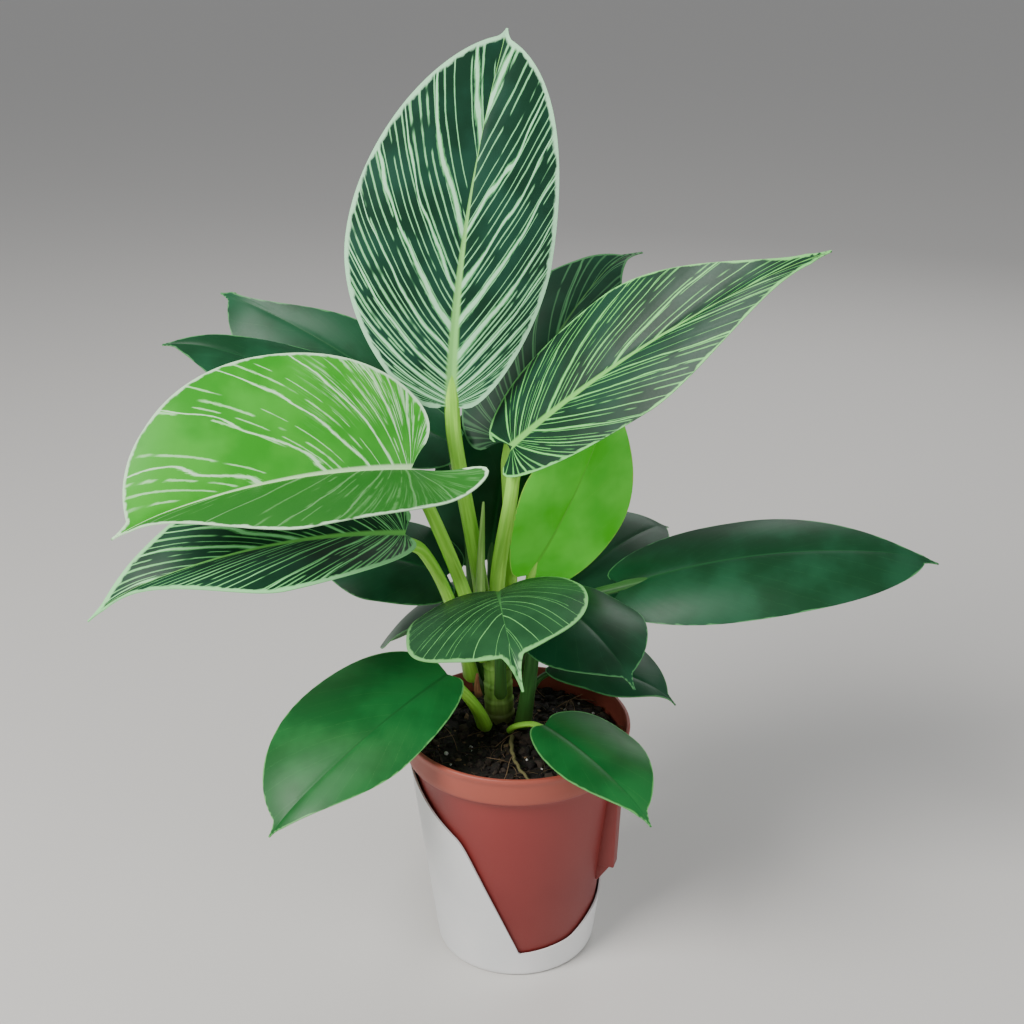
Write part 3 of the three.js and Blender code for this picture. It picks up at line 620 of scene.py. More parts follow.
def outline(leaf, right, length):
    """The margin of one half, from the stalk to the tip."""
    half, lobe, full = leaf["half"][right], leaf["lobe"][right], leaf["full"][right]
    neck = leaf["stalk"][1] + STALK_MARGIN
    drip_half, drip_length = leaf["drip"]
    end = length - drip_length
    widest = WIDEST_AT * length
    ahead = WIDEST_AHEAD[0] + WIDEST_AHEAD[1] * full
    lower = curve_points(
        [(neck, 0), (LOBE_HANDLE[0] * half, -LOBE_HANDLE[1] * lobe),
         (half, leaf["shoulder"] * length - WIDEST_BACK * lobe), (half, widest)], 200)
    # start where the lobe lies furthest back, so the veins don't cross the notch
    lower = lower[np.argmin(lower[:, 1] / lower[:, 0]):]
    upper = curve_points(
        [(half, widest), (half, widest + ahead * (end - widest)),
         (full * half, (TIP_HANDLE[0] + TIP_HANDLE[1] * full) * end), (drip_half, end)], 160)
    drip = curve_points(
        [(drip_half, end), (0.5 * drip_half, end + DRIP_HANDLE * drip_length),
         (DRIP_THIN, length - DRIP_HANDLE * drip_length), (TIP_HALF_WIDTH, length)], 12)
    return np.concatenate([lower, upper[1:], drip[1:]])


print("crown margin points:", len(outline(LEAVES["crown"], 0, 150)))

# %% [markdown]
# ## Bending a flat leaf
# `bend` carries flat points onto the bent blade in two moves. The midrib is laid along
# its arch and sweep, with the tip hooked down and the lobes perked up. Then every
# point is set off from it sideways, along an arc that starts at the fold and curls.

# %% Bend
HOOK_FROM = 0.8  # share of the length where the tip starts to turn
PERK_SCALE = 30  # mm


def leaf_frame(leaf):
    """A leaf's base and length, and its directions: along, up and sideways."""
    base = np.array(leaf["base"], float)
    along = np.array(leaf["tip"], float) - base
    length = float(np.linalg.norm(along))
    along = along / length
    up = np.array(leaf["face"], float)
    up = unit(up - up.dot(along) * along)
    return base, length, along, up, np.cross(along, up)


def bend(leaf, x, y):
    """Flat points (x across, y along, in mm) on the bent blade, and their normals."""
    base, length, along, up, side = leaf_frame(leaf)
    arch, sweep, (hook_up, hook_side) = leaf["arch"], leaf["sweep"], leaf["hook"]
    u = np.clip(y / length, 0, 1)
    bulge = 4 * u * (1 - u)
    slope = 4 * (1 - 2 * u) / length
    late = np.maximum(0, (u - HOOK_FROM) / (1 - HOOK_FROM))
    late_slope = 2 * late / (1 - HOOK_FROM) / length
    perk = leaf["perk"] * np.minimum(0, y) ** 2 / PERK_SCALE
    lift = (arch * bulge + hook_up * late**2 + perk)[:, None]
    shift = (sweep * bulge + hook_side * late**2)[:, None]
    at = base + (u * length)[:, None] * along + lift * up + shift * side
    tangent = unit(
        along + (arch * slope + hook_up * late_slope)[:, None] * up
        + (sweep * slope + hook_side * late_slope)[:, None] * side)
    at = at + (y - u * length)[:, None] * tangent
    level = unit(up - (tangent @ up)[:, None] * tangent)
    across = np.cross(tangent, level)
    turn = (math.radians(leaf["twist"]) * (u - 0.5) * 2)[:, None]
    normal = level * np.cos(turn) + across * np.sin(turn)
    right = (x > 0).astype(int)
    fold = np.radians(np.array(leaf["fold"]))[right]
    curl = 2 * np.radians(np.array(leaf["curl"]))[right] / np.array(leaf["half"])[right]
    end = fold + curl * np.abs(x)
    out = (np.sin(end) - np.sin(fold)) / curl
    rise = (np.cos(fold) - np.cos(end)) / curl
    at = at + (np.sign(x) * out)[:, None] * np.cross(tangent, normal)
    return at + rise[:, None] * normal, normal


sample, _ = bend(LEAVES["crown"], np.array([0.0]), np.array([80.0]))
print("a sample midrib point:", sample[0])

# %% [markdown]
# ## Shaping and storing points
# A grid could be bent with operators, but a leaf's bend has too many parts for that.
# So each piece still starts as a primitive, and we then move its points in one go.
# What a material needs to know is stored on the points as attributes.

# %% Piece helpers
def select_only(piece):
    bpy.ops.object.select_all(action="DESELECT")
    piece.select_set(True)
    bpy.context.view_layer.objects.active = piece


def add_piece(name, material, add_primitive, **sizes):
    """Adds a primitive, names it and gives it its one material."""
    bpy.ops.object.select_all(action="DESELECT")
    add_primitive(**sizes)
    piece = bpy.context.object
    piece.name = piece.data.name = name
    piece.data.materials.clear()
    piece.data.materials.append(material)
    return piece


def points_of(piece, unit_length=MM):
    """The places of a piece's points, one row each."""
    flat = np.empty(len(piece.data.vertices) * 3)
    piece.data.vertices.foreach_get("co", flat)
    return flat.reshape(-1, 3) / unit_length


def move_points(piece, points_mm):
    piece.data.vertices.foreach_set("co", (points_mm * MM).ravel())
    piece.data.update()


def store(piece, name, values):
    """Stores a number or a vector for every point."""
    kind, field = ("FLOAT_VECTOR", "vector") if values.ndim == 2 else ("FLOAT", "value")
    layer = piece.data.attributes.new(name, kind, "POINT")
    layer.data.foreach_set(field, values.ravel())


def apply_modifier(piece, kind, **values):
    select_only(piece)
    modifier = piece.modifiers.new(kind.lower(), kind)
    for key, value in values.items():
        setattr(modifier, key, value)
    bpy.ops.object.modifier_apply(modifier=modifier.name)


def smooth(piece, angle):
    select_only(piece)
    bpy.ops.object.shade_smooth_by_angle(angle=math.radians(angle))


def grid_piece(name, material, columns, rows):
    """A flat grid; returns the piece and each point's column and row as whole numbers."""
    piece = add_piece(name, material, bpy.ops.mesh.primitive_grid_add,
                      x_subdivisions=columns, y_subdivisions=rows, size=2)
    share = (points_of(piece, 1) + 1) / 2
    column = np.rint(share[:, 0] * columns).astype(int)
    return piece, column, np.rint(share[:, 1] * rows).astype(int)


print("piece helpers ready")

# %% [markdown]
# ## Making a blade
# A real blade is a thin sheet with side veins that bow towards the tip. Each blade
# starts as a grid, whose rows become veins and whose columns run from one margin over
# the midrib to the other. We place its points on the flat outline, bend them, add a
# groove along the midrib and a gentle ripple along the margin, and give the sheet its
# thickness with Solidify.

# %% Flat blade
VEINS = 96
COLUMNS = 48
CROWD_TO_RIB = 1.4  # over 1: the columns crowd towards the midrib
CROWD_TO_TIP = 1.6  # over 1: the veins crowd towards the tip, and lean more there
VEIN_FOOT = (0.8, 0.2)  # shares of the length where the veins start, and the last few
VEIN_BOW = (0.6, 0.42)  # a vein's middle handle: share of the way out and along


def flat_blade(leaf, column, row):
    """Each point's place on the flat leaf, its vein, and its distance to the margin."""
    length = leaf_frame(leaf)[1]
    side = column / COLUMNS * 2 - 1
    reach = np.abs(side) ** CROWD_TO_RIB
    share = 1 - (1 - row / VEINS) ** CROWD_TO_TIP
    rib_start = length * (VEIN_FOOT[0] * share**3 + VEIN_FOOT[1] * share**20)
    x, y, vein, edge = np.zeros((4, len(row)))
    for right, way in ((0, -1), (1, 1)):
        here = (side > 0) == bool(right)
        line = outline(leaf, right, length)
        run = run_along(line)
        at = share[here] * run[-1]
        end_x, end_y = np.interp(at, run, line[:, 0]), np.interp(at, run, line[:, 1])
        q, start = reach[here], rib_start[here]
        handle = start + VEIN_BOW[1] * (end_y - start)
        out = 2 * q * (1 - q) * VEIN_BOW[0] * end_x + q * q * end_x
        x[here] = way * out
        y[here] = (1 - q) ** 2 * start + 2 * q * (1 - q) * handle + q * q * end_y
        vein[here] = at
        gaps = np.hypot(out[:, None] - line[::3, 0], y[here][:, None] - line[::3, 1])
        edge[here] = gaps.min(axis=1)
    return x, y, vein, edge, reach, np.hypot(x, y - rib_start)


print("flat blade ready:", VEINS, "veins,", COLUMNS, "columns")


# %% Blade maker
BLADE_THICKNESS = 0.5
GROOVE = (0.32, 1.3)  # depth and half width
RIPPLE = 0.9
VEIN_SHIFT = 137.3  # mm between the stripe patterns of one leaf and the next


def make_blade(name, leaf, number):
    material = leaf_materials[leaf["finish"]]
    piece, column, row = grid_piece(name + "_leaf_blade", material, COLUMNS, VEINS)
    x, y, vein, edge, reach, out_along = flat_blade(leaf, column, row)
    along = y / leaf_frame(leaf)[1]
    depth, half = GROOVE
    groove = depth * bell(x, half) * np.clip(1 - along, 0, 1) ** 0.5
    wave = np.sin(along * 9 + number * 1.7 + (column > COLUMNS / 2) * 2)
    ripple = RIPPLE * reach**2 * wave * np.sin(np.clip(along, 0, 1) * math.pi) ** 0.5
    at, normal = bend(leaf, x, y)
    move_points(piece, at + (ripple - groove + BLADE_THICKNESS / 2)[:, None] * normal)
    store(piece, "vein", np.stack([vein + number * VEIN_SHIFT, out_along, reach], 1))
    store(piece, "place", np.stack([edge, x, along], 1))
    apply_modifier(piece, "SOLIDIFY", thickness=BLADE_THICKNESS * MM, offset=-1)
    # Solidify adds the underside's points after the upper side's
    under = np.zeros(len(piece.data.vertices))
    under[len(row):] = 1
    store(piece, "under", under)
    smooth(piece, 60)
    return piece


print("blade maker ready")


# %% All the blades
def declare(piece, node):
    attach(piece, "root")
    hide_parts(node)


def box_gap(piece, node):
    """How far, in mm, a piece's box is from its CAD node's box at the worst side."""
    points = points_of(piece)
    low, high = (np.array(corner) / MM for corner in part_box(node))
    return max(np.abs(points.min(axis=0) - low).max(), np.abs(points.max(axis=0) - high).max())


for number, (name, leaf) in enumerate(LEAVES.items()):
    blade = make_blade(name, leaf, number)
    node = name + "_blade"
    declare(blade, node)
    print(name, "box within", round(box_gap(blade, node), 1), "mm of the CAD node")

# %% [markdown]
# ## Stalks
# A stalk of this plant is half round, with a shallow groove along its upper side, and
# it runs on under the blade as a tapering midrib. A grid rolled into a tube gives us
# control of every ring, so one strip of points can be wide at the foot, grooved along
# its length and thin at the end. The seam is merged and both ends are closed.

# %% Group: lengthwise streaks
SLOW_ALONG = 0.035  # streaks change this much per mm along a stalk
streaks_group, given, result = new_group(
    "plant_streaks", ["Round"], ["Fineness"], ["Streak", "Height"])
cos_part, sin_part, run = parts_of(given["Round"])
streak_place = vector_of(
    cos_part * given["Fineness"], sin_part * given["Fineness"], run * SLOW_ALONG)
streak = grain(streak_place, 1, 3, 0.6)
fill(result, Streak=step(streak, 0.36, 0.66),
     Height=grain(object_place(streaks_group), 700, 2) * 0.15 + streak)


# %% Stalk finishes
def stalk_material(name, young, old, foot, foot_end, rough):
    """Two greens in streaks, with a third colour that fades out above the foot."""
    material, tree, shader = new_material(name)
    streaks = use_group(
        tree, streaks_group, Round=attribute(tree, "round"), Fineness=2.2)
    colour = blend(streaks["Streak"], old, young)
    blotch = step(grain(object_place(tree), 60, 3), 0.45, 0.75)
    colour = blend(blotch * 0.35, colour, old)
    height = attribute(tree, "share", "Fac") + streaks["Streak"] * 0.05
    colour = blend(fade(height, 0.0, foot_end), colour, foot)
    fill(shader, Base_Color=colour, Roughness=streaks["Streak"] * 0.12 + rough,
         Normal=bump(streaks["Height"], 0.0003, 0.3))
    return material


stalk_green = stalk_material(
    "stalk_green", (0.48, 0.97, 0.12), (0.30, 0.76, 0.06), (0.24, 0.50, 0.06), 0.25, 0.40)
dull_green = stalk_material(
    "dull_stalk_green", (0.05, 0.20, 0.035), (0.025, 0.11, 0.022), (0.05, 0.13, 0.02),
    0.25, 0.45)
stem_finish = stalk_material(
    "stem_green", (0.38, 0.70, 0.14), (0.22, 0.50, 0.07), (0.16, 0.16, 0.05), 0.5, 0.5)
sheath_finish = stalk_material(
    "sheath_green", (0.48, 0.76, 0.24), (0.28, 0.54, 0.11), (0.24, 0.34, 0.08), 0.15, 0.45)
dry_finish = stalk_material(
    "dry_sheath_brown", (0.38, 0.17, 0.08), (0.20, 0.07, 0.03), (0.12, 0.05, 0.02), 0.3, 0.8)
root_finish = stalk_material(
    "root_olive", (0.22, 0.20, 0.08), (0.10, 0.08, 0.035), (0.12, 0.11, 0.04), 0.3, 0.75)
print("stalk finishes ready")


# %% Tube maker
GROOVE_TURN = 0.55  # how wide a groove is, as a turn about the tube


def close_up(piece):
    """Merges the seam, closes open ends and points the faces outwards."""
    select_only(piece)
    bpy.ops.object.mode_set(mode="EDIT")
    bpy.ops.mesh.select_all(action="SELECT")
    bpy.ops.mesh.remove_doubles(threshold=1e-6)
    bpy.ops.mesh.fill_holes(sides=0)
    bpy.ops.mesh.select_all(action="SELECT")
    bpy.ops.mesh.normals_make_consistent(inside=False)
    bpy.ops.object.mode_set(mode="OBJECT")


def tube(name, material, path, wide, widths, depths, columns=24, groove=0.0):
    """A closed tube along path (mm); widths and depths are half sizes at each ring."""
    piece, column, row = grid_piece(name, material, columns, len(path) - 1)
    tangent = unit(np.gradient(path, axis=0))
    wide = np.tile(np.array(wide, float), (len(path), 1))
    a = unit(wide - (wide * tangent).sum(1)[:, None] * tangent)
    b = np.cross(a, tangent)
    turn = column / columns * 2 * math.pi
    cos_turn, sin_turn = np.cos(turn), np.sin(turn)
    dip = 1 - groove * bell(turn - math.pi / 2, GROOVE_TURN)
    run = run_along(path)
    at = path[row] + a[row] * (widths[row] * cos_turn)[:, None]
    move_points(piece, at + b[row] * (depths[row] * sin_turn * dip)[:, None])
    store(piece, "round", np.stack([cos_turn, sin_turn, run[row]], 1))
    store(piece, "share", run[row] / run[-1])
    close_up(piece)
    smooth(piece, 60)
    return piece


print("tube maker ready")


# %% Stalk path
def soften(path, centre, reach, rounds=60):
    """Rounds off a corner of a path near one of its points."""
    weight = bell(np.arange(len(path)) - centre, reach)[:, None]
    for _ in range(rounds):
        middle = path.copy()
        middle[1:-1] = (path[:-2] + path[2:]) / 2
        path = path + (middle - path) * weight * 0.8
    return path


def resample(path, spacing):
    """The same path with even spacing, and how far along it each point is, as a share."""
    run = run_along(path)
    marks = np.linspace(0, run[-1], max(8, int(run[-1] / spacing)))
    even = np.stack([np.interp(marks, run, path[:, k]) for k in range(3)], 1)
    return even, marks / run[-1]


print("path helpers ready")

# %% Stalk maker
RING_SPACING = 2.2
RIB_STEPS = 60
RIB_FROM = 2.5  # mm from the blade's base
RIB_LENGTH = 0.9  # share of the blade that the midrib runs under
RIB_LEAST = (0.5, 0.45)  # half its width and half its thickness at the end
UNDER_BLADE = 0.6  # mm more than the midrib's own half thickness
SINKS_OVER = 0.16  # share of the blade
FLATNESS = (0.85, 0.8)  # thickness over width, at the foot and at the top
FLARE = 0.22  # how much wider the foot is
BRIGHT_STALKS = ("crown", "upper_right", "bright_left", "striped_left", "upper_back",
                 "lime_right", "low_left", "low_right")


def make_stalk(name, leaf, material):
    base, length, _, _, side = leaf_frame(leaf)
    foot, rise, reach = (np.array(leaf[key], float) for key in ("foot", "rise", "reach"))
    end = base - unit(reach) * leaf["gap"]
    lower, share = resample(curve_points([foot, foot + rise, end - reach, end], 60), RING_SPACING)
    r0, r1 = leaf["stalk"]
    d0, d1 = FLATNESS[0] * r0, FLATNESS[1] * r1
    y = np.linspace(RIB_FROM, RIB_LENGTH * length, RIB_STEPS)
    left = np.clip(1 - y / (RIB_LENGTH * length), 0, 1)
    rib_depth = d1 * left**1.3 * np.exp(-y / (0.35 * length)) + RIB_LEAST[1]
    rib_half = r1 * left**1.1 * np.exp(-y / (0.30 * length)) + RIB_LEAST[0]
    at, normal = bend(leaf, np.zeros(RIB_STEPS), y)
    sunk = np.clip(y / (SINKS_OVER * length), 0, 1) ** 0.6
    upper = at - normal * ((rib_depth + UNDER_BLADE) * sunk)[:, None]
    path = soften(np.concatenate([lower, upper]), len(lower) - 0.5, 2.6)
    flare = 1 + FLARE * np.exp(-np.arange(len(path)) / 4.0)
    half = np.concatenate([r0 + (r1 - r0) * share, rib_half]) * flare
    depth = np.concatenate([d0 + (d1 - d0) * share, rib_depth]) * flare
    half[0] *= 0.7
    depth[0] *= 0.7
    half[-1] = depth[-1] = 0.15
    return tube(name + "_leaf_stalk", material, path, side, half, depth, groove=0.16)


for name, leaf in LEAVES.items():
    green = stalk_green if name in BRIGHT_STALKS else dull_green
    declare(make_stalk(name, leaf, green), name + "_stalk")
print("stalks:", len(LEAVES))

# %% [markdown]
# ## Stem, sheaths and roots
# The stem is a short stack of old leaf joints: each joint leaves a thin raised ring.
# The sheaths are the thin wrappers that new leaves grew out of, and the roots are
# cords that lie on the mix. The tube maker builds the stem and the roots. A sheath is
# an open trough, so it is a grid bent round on one side only and given a thin wall.

# %% Stem
STEM_FOOT, STEM_TOP = np.array([-8, 17, 110.0]), np.array([-10, 16, 165.0])
STEM_RADII = (7.4, 6.1)
STEM_FLATNESS = 0.97
JOINTS = (0.1, 0.24, 0.4, 0.58, 0.78)  # shares of the stem's height
stem_share = np.linspace(0, 1, 70)
stem_path = STEM_FOOT + (STEM_TOP - STEM_FOOT) * stem_share[:, None]
stem_half = STEM_RADII[0] + (STEM_RADII[1] - STEM_RADII[0]) * stem_share
for joint in JOINTS:
    above = stem_share - joint
    # a thin raised ring with a shallow dip over it
    stem_half = stem_half + 0.55 * bell(above, 0.012) - 0.35 * bell(above - 0.03, 0.02)
stem_half[-1] *= 0.6
stem_half[-2] *= 0.9
stem = tube("joined_stem", stem_finish, stem_path, (1, 0, 0), stem_half,
            stem_half * STEM_FLATNESS)
declare(stem, "stem")
print("stem joints:", len(JOINTS))

# %% Sheaths
SHEATH_ROWS, SHEATH_COLUMNS = 40, 12
SHEATH_WALL = 0.35


def sheath(name, material, knots, half, depth, wrap, node):
    """A pointed wrapper: an open trough with a thin wall."""
    path = curve_points(knots, SHEATH_ROWS + 1)
    piece, column, row = grid_piece(name, material, SHEATH_COLUMNS, SHEATH_ROWS)
    tangent = unit(np.gradient(path, axis=0))
    across = unit(np.cross(tangent, np.array([0, -1.0, 0])))
    front = np.cross(across, tangent)
    share = row / SHEATH_ROWS
    width = half[0] * (1 - share) ** 0.75 + half[1]
    angle = (column / SHEATH_COLUMNS * 2 - 1) * wrap
    at = path[row] + across[row] * (width * np.sin(angle))[:, None]
    move_points(piece, at + front[row] * (depth * width * (np.cos(angle) - 0.6))[:, None])
    store(piece, "round", np.stack([np.cos(angle), np.sin(angle), share * 60], 1))
    store(piece, "share", share)
    apply_modifier(piece, "SOLIDIFY", thickness=SHEATH_WALL * MM, offset=0)
    smooth(piece, 50)
    declare(piece, node)


sheath("green_leaf_sheath", sheath_finish,
       [(-16.5, 9.5, 166), (-17.5, 7, 190), (-16, 5, 212), (-15, 4, 232)],
       (2.5, 0.25), 0.8, 1.7, "green_sheath")
sheath("dry_leaf_sheath", dry_finish,
       [(-18, 4.5, 131), (-19, 2.5, 136), (-19, 1.5, 140), (-18.5, 1.5, 145)],
       (1.6, 0.3), 0.7, 1.3, "dry_sheath")
print("sheaths ready")

# %% Roots
ROOT_RINGS = 40


def root(name, knots, start, end, node):
    """A cord that wobbles a little and is not quite even in thickness."""
    ring = np.arange(ROOT_RINGS)
    wobble = 0.35 * np.sin(ring * 0.9)[:, None] * np.array([0.6, 0.4, 0.5])
    half = np.linspace(start, end, ROOT_RINGS) * (1 + 0.12 * np.sin(ring * 1.9))
    half[-1] *= 0.3
    path = curve_points(knots, ROOT_RINGS) + wobble
    declare(tube(name, root_finish, path, (0, 0, 1), half, half, 12), node)


root("long_aerial_root", [(-2, -4, 113.6), (-3, -20, 115), (-1, -33, 113), (10, -47, 113)],
     1.1, 0.6, "long_root")
root("short_aerial_root", [(8, -2, 113.6), (15, 3, 113.5), (22, 8, 114), (28, 14, 112.8)],
     0.8, 0.5, "short_root")
print("roots ready")

# %% [markdown]
# ## Pot
# The pot is thin moulded plastic: a tapered wall, a deeper rim band and a rolled lip.
# Starting from a cone of the first two sizes, the top face is pulled up and scaled
# again and again, which is how a profile is turned with edit-mode tools only. Going
# back down inside gives the wall its thickness and the pot its floor.

# %% Turning a profile by extruding
def turned(name, material, profile, segments):
    """Pulls a closed shape through [radius, height] pairs, in mm."""
    (r0, z0), (r1, z1) = profile[:2]
    piece = add_piece(
        name, material, bpy.ops.mesh.primitive_cone_add, vertices=segments,
        radius1=r0 * MM, radius2=r1 * MM, depth=(z1 - z0) * MM,
        location=(0, 0, (z0 + z1) / 2 * MM))
    bpy.ops.object.transform_apply(location=True, rotation=True, scale=True)
    top = max(piece.data.polygons, key=lambda f: (round(f.normal.z, 3), f.center.z)).index
    bpy.ops.object.mode_set(mode="EDIT")
    bpy.ops.mesh.select_mode(type="FACE")
    bpy.ops.mesh.select_all(action="DESELECT")
    bpy.ops.object.mode_set(mode="OBJECT")
    piece.data.polygons[top].select = True
    bpy.ops.object.mode_set(mode="EDIT")
    for (ra, za), (rb, zb) in zip(profile[1:], profile[2:]):
        bpy.ops.mesh.extrude_region_move(
            TRANSFORM_OT_translate={"value": (0, 0, (zb - za) * MM)})
        bpy.ops.transform.resize(value=(rb / ra, rb / ra, 1), center_override=(0, 0, zb * MM))
    bpy.ops.mesh.select_all(action="SELECT")
    bpy.ops.mesh.normals_make_consistent(inside=False)
    bpy.ops.object.mode_set(mode="OBJECT")
    return piece


print("turning helper ready")

# %% Pot plastic
pot_plastic, tree, shader = new_material("terracotta_plastic")
place = object_place(tree)
height = parts_of(place)[2]
colour = blend(step(height, 0.0, 0.12), (0.17, 0.014, 0.013), (0.27, 0.034, 0.030))
worn = step(grain(place, 16, 3), 0.3, 0.7) * 0.25
colour = blend(worn, colour, (0.33, 0.058, 0.046))
rim_band = step(height, 0.1062, 0.1085) * 0.55
colour = blend(rim_band, colour, (0.46, 0.12, 0.075))
fine_skin = grain(place, 1600, 3, 0.6)
fill(shader, Base_Color=colour, Roughness=fine_skin * 0.2 + 0.36,
     Normal=bump(fine_skin, 0.00012, 0.5))
print("pot plastic ready")

# %% Pot
POT_PROFILE = [
    (36.9, 1.5), (37.5, 2.0), (37.7, 2.6), (38.6, 10), (41.6, 36), (44.6, 62), (47.4, 86),
    (49.4, 102), (50.0, 105.6), (50.5, 106.2), (52.6, 106.5), (53.3, 106.9), (53.6, 107.6),
    (53.9, 111), (54.2, 116), (54.35, 118.2), (54.9, 118.9), (55.0, 119.8), (54.9, 120.6),
    (54.4, 121.0), (53.4, 121.0), (53.0, 120.5), (52.8, 118), (52.2, 108.2), (50.4, 107.2),
    (48.8, 105.2), (48.1, 102), (46.1, 86), (43.3, 62), (40.3, 36), (37.3, 10), (36.4, 3.8),
    (35.6, 3.5), (20, 3.5),
]
pot = turned("tapered_pot", pot_plastic, POT_PROFILE, 120)
smooth(pot, 45)
declare(pot, "nursery_pot")
print("pot faces:", len(pot.data.polygons))

# %% [markdown]
# ## Label pocket
# On its right the pot has a small moulded pocket with a gusset under it. Both are
# blocks that stand out of the sloping wall, so each is a cube whose corners are moved
# to the wall's radius at their height, and whose edges are then bevelled.

# %% Label pocket
POCKET_ANGLE = math.radians(-17)
WALL_HEIGHTS, WALL_RADII = (39, 92), (41.2, 47.3)


def slab(name, foot, top, foot_reach, top_reach, foot_width, top_width):
    """A block that stands out of the pot's wall; heights, reaches and widths in mm."""
    piece = add_piece(name, pot_plastic, bpy.ops.mesh.primitive_cube_add,
                      size=1, location=(0, 0, 0))
    out, side, rise = (points_of(piece, 1) + 0.5).T
    height = foot + (top - foot) * rise
    wall = np.interp(height, WALL_HEIGHTS, WALL_RADII)
    reach = wall + out * (foot_reach + (top_reach - foot_reach) * rise - wall)
    across = (side - 0.5) * (foot_width + (top_width - foot_width) * rise)
    c, s = math.cos(POCKET_ANGLE), math.sin(POCKET_ANGLE)
    move_points(piece, np.stack([reach * c - across * s, reach * s + across * c, height], 1))
    apply_modifier(piece, "BEVEL", width=0.5 * MM, segments=3, limit_method="ANGLE")
    smooth(piece, 40)
    declare(piece, "nursery_pot")


slab("pot_label_pocket", 48, 92, 51, 52.5, 7.7, 11)
slab("pot_pocket_gusset", 39.2, 48.4, 43, 49, 6.5, 7.2)
print("pocket and gusset ready")

# %% [markdown]
# ## Sleeve
# The sleeve is one thin white cup whose wall is cut away in a V at the front. The cup
# is turned with evenly spaced rings, and each ring is then moved to its share of the
# height of the cut edge at that angle, so the rings crowd together where it dips.

# %% Sleeve plastic
sleeve_white, tree, shader = new_material("white_sleeve_plastic")
place = object_place(tree)
mottle = step(grain(place, 22, 3), 0.35, 0.7)
fill(shader, Base_Color=blend(mottle, (0.78, 0.79, 0.79), (0.86, 0.86, 0.855)),
     Roughness=grain(place, 300, 2) * 0.15 + 0.3,
     Normal=bump(grain(place, 900, 2), 0.0001, 0.35))
print("sleeve plastic ready")

# %% Cut edge of the sleeve
SLEEVE_EDGE = [  # (angle in degrees, height); 0 degrees is right, -90 is the front
    (-180, 104), (-160, 98), (-122, 78), (-88, 14), (-50, 17), (-30, 24), (-8, 28),
    (62, 104), (180, 104),
]
ROUNDING = 16  # half degrees over which the edge's corners are rounded off
NOTCH_ANGLE = -88  # the foot of the V, which stays sharp
NOTCH_WIDTH = 6  # degrees on each side of it


def cut_height(angle):
    """Height of the cut edge, in mm, at these angles in degrees."""
    fine = np.linspace(-180, 180, 721)
    sharp = np.interp(fine, *np.array(SLEEVE_EDGE, float).T)
    kernel = bell(np.arange(-ROUNDING, ROUNDING + 1), ROUNDING / 2)
    kernel = kernel / kernel.sum()
    rounded = np.convolve(np.pad(sharp, ROUNDING, mode="wrap"), kernel, "valid")
    near_notch = bell(fine - NOTCH_ANGLE, NOTCH_WIDTH)
    return np.interp(angle, fine, rounded + (sharp - rounded) * near_notch)


print("cut edge at the front:", round(float(cut_height(NOTCH_ANGLE)), 1), "mm")

# %% Sleeve
LEVELS = 24
SKIRT = 2  # the wall that is cut away starts at this height
SLEEVE_TOP = 104
SLEEVE_RADII = (39.2, 51.9)  # outside, at the foot and at the top
SLEEVE_WALL = 0.9
# the rings of the wall are turned straight up, 1 mm apart, at these two radii
OUTER_TURN, INNER_TURN = 40, 38.9

profile = [(36.8, 0), (38.4, 0.25), (38.9, 0.7), (SLEEVE_RADII[0], 1.4)]
profile += [(OUTER_TURN, SKIRT + i) for i in range(LEVELS + 1)]
profile += [(INNER_TURN, SKIRT + i) for i in range(LEVELS, -1, -1)]
profile += [(38.0, 1.1), (20, 1.1)]
sleeve = turned("cut_away_sleeve", sleeve_white, profile, 240)
x, y, z = points_of(sleeve).T
angle = np.arctan2(y, x)
turned_radius = np.hypot(x, y)
edge = cut_height(np.degrees(angle))
height = SKIRT + (edge - SKIRT) * (z - SKIRT) / LEVELS
wall_radius = SLEEVE_RADII[0] + (SLEEVE_RADII[1] - SLEEVE_RADII[0]) * height / SLEEVE_TOP
inside = turned_radius < (OUTER_TURN + INNER_TURN) / 2
wall_radius = wall_radius - SLEEVE_WALL * inside
in_wall = z > SKIRT - 0.1
radius = np.where(in_wall, wall_radius, turned_radius)
move_points(sleeve, np.stack([
    radius * np.cos(angle), radius * np.sin(angle), np.where(in_wall, height, z)], 1))
smooth(sleeve, 45)
declare(sleeve, "white_sleeve")
print("sleeve faces:", len(sleeve.data.polygons))

# %% [markdown]
# ## Potting mix
# Potting mix is crumbs, bark, fibres and white perlite over a dark bed. The bed is
# turned like the pot and then roughened. Each kind of crumb is made once, from a
# sphere or a tube, and copied with its own mesh, size and tone.

# %% Mix finishes
def mix_material(name, dark, light, rough, scale):
    """Spots between a dark and a light tone; each crumb stores its own tone."""
    material, tree, shader = new_material(name)
    spots = grain(object_place(tree), scale, 4, 0.65)
    share = step(attribute(tree, "tone", "Fac") * 0.6 + (spots - 0.3), 0.25, 0.75)
    fill(shader, Base_Color=blend(share, dark, light), Roughness=spots * 0.2 + rough,
         Normal=bump(spots, 0.0006, 0.9))
    return material


peat = mix_material("dark_peat", (0.006, 0.004, 0.003), (0.045, 0.030, 0.021), 0.8, 900)
bark = mix_material("tan_bark", (0.05, 0.028, 0.014), (0.24, 0.15, 0.08), 0.75, 500)
perlite = mix_material("white_perlite", (0.45, 0.44, 0.41), (0.78, 0.77, 0.74), 0.75, 700)
print("mix finishes ready")

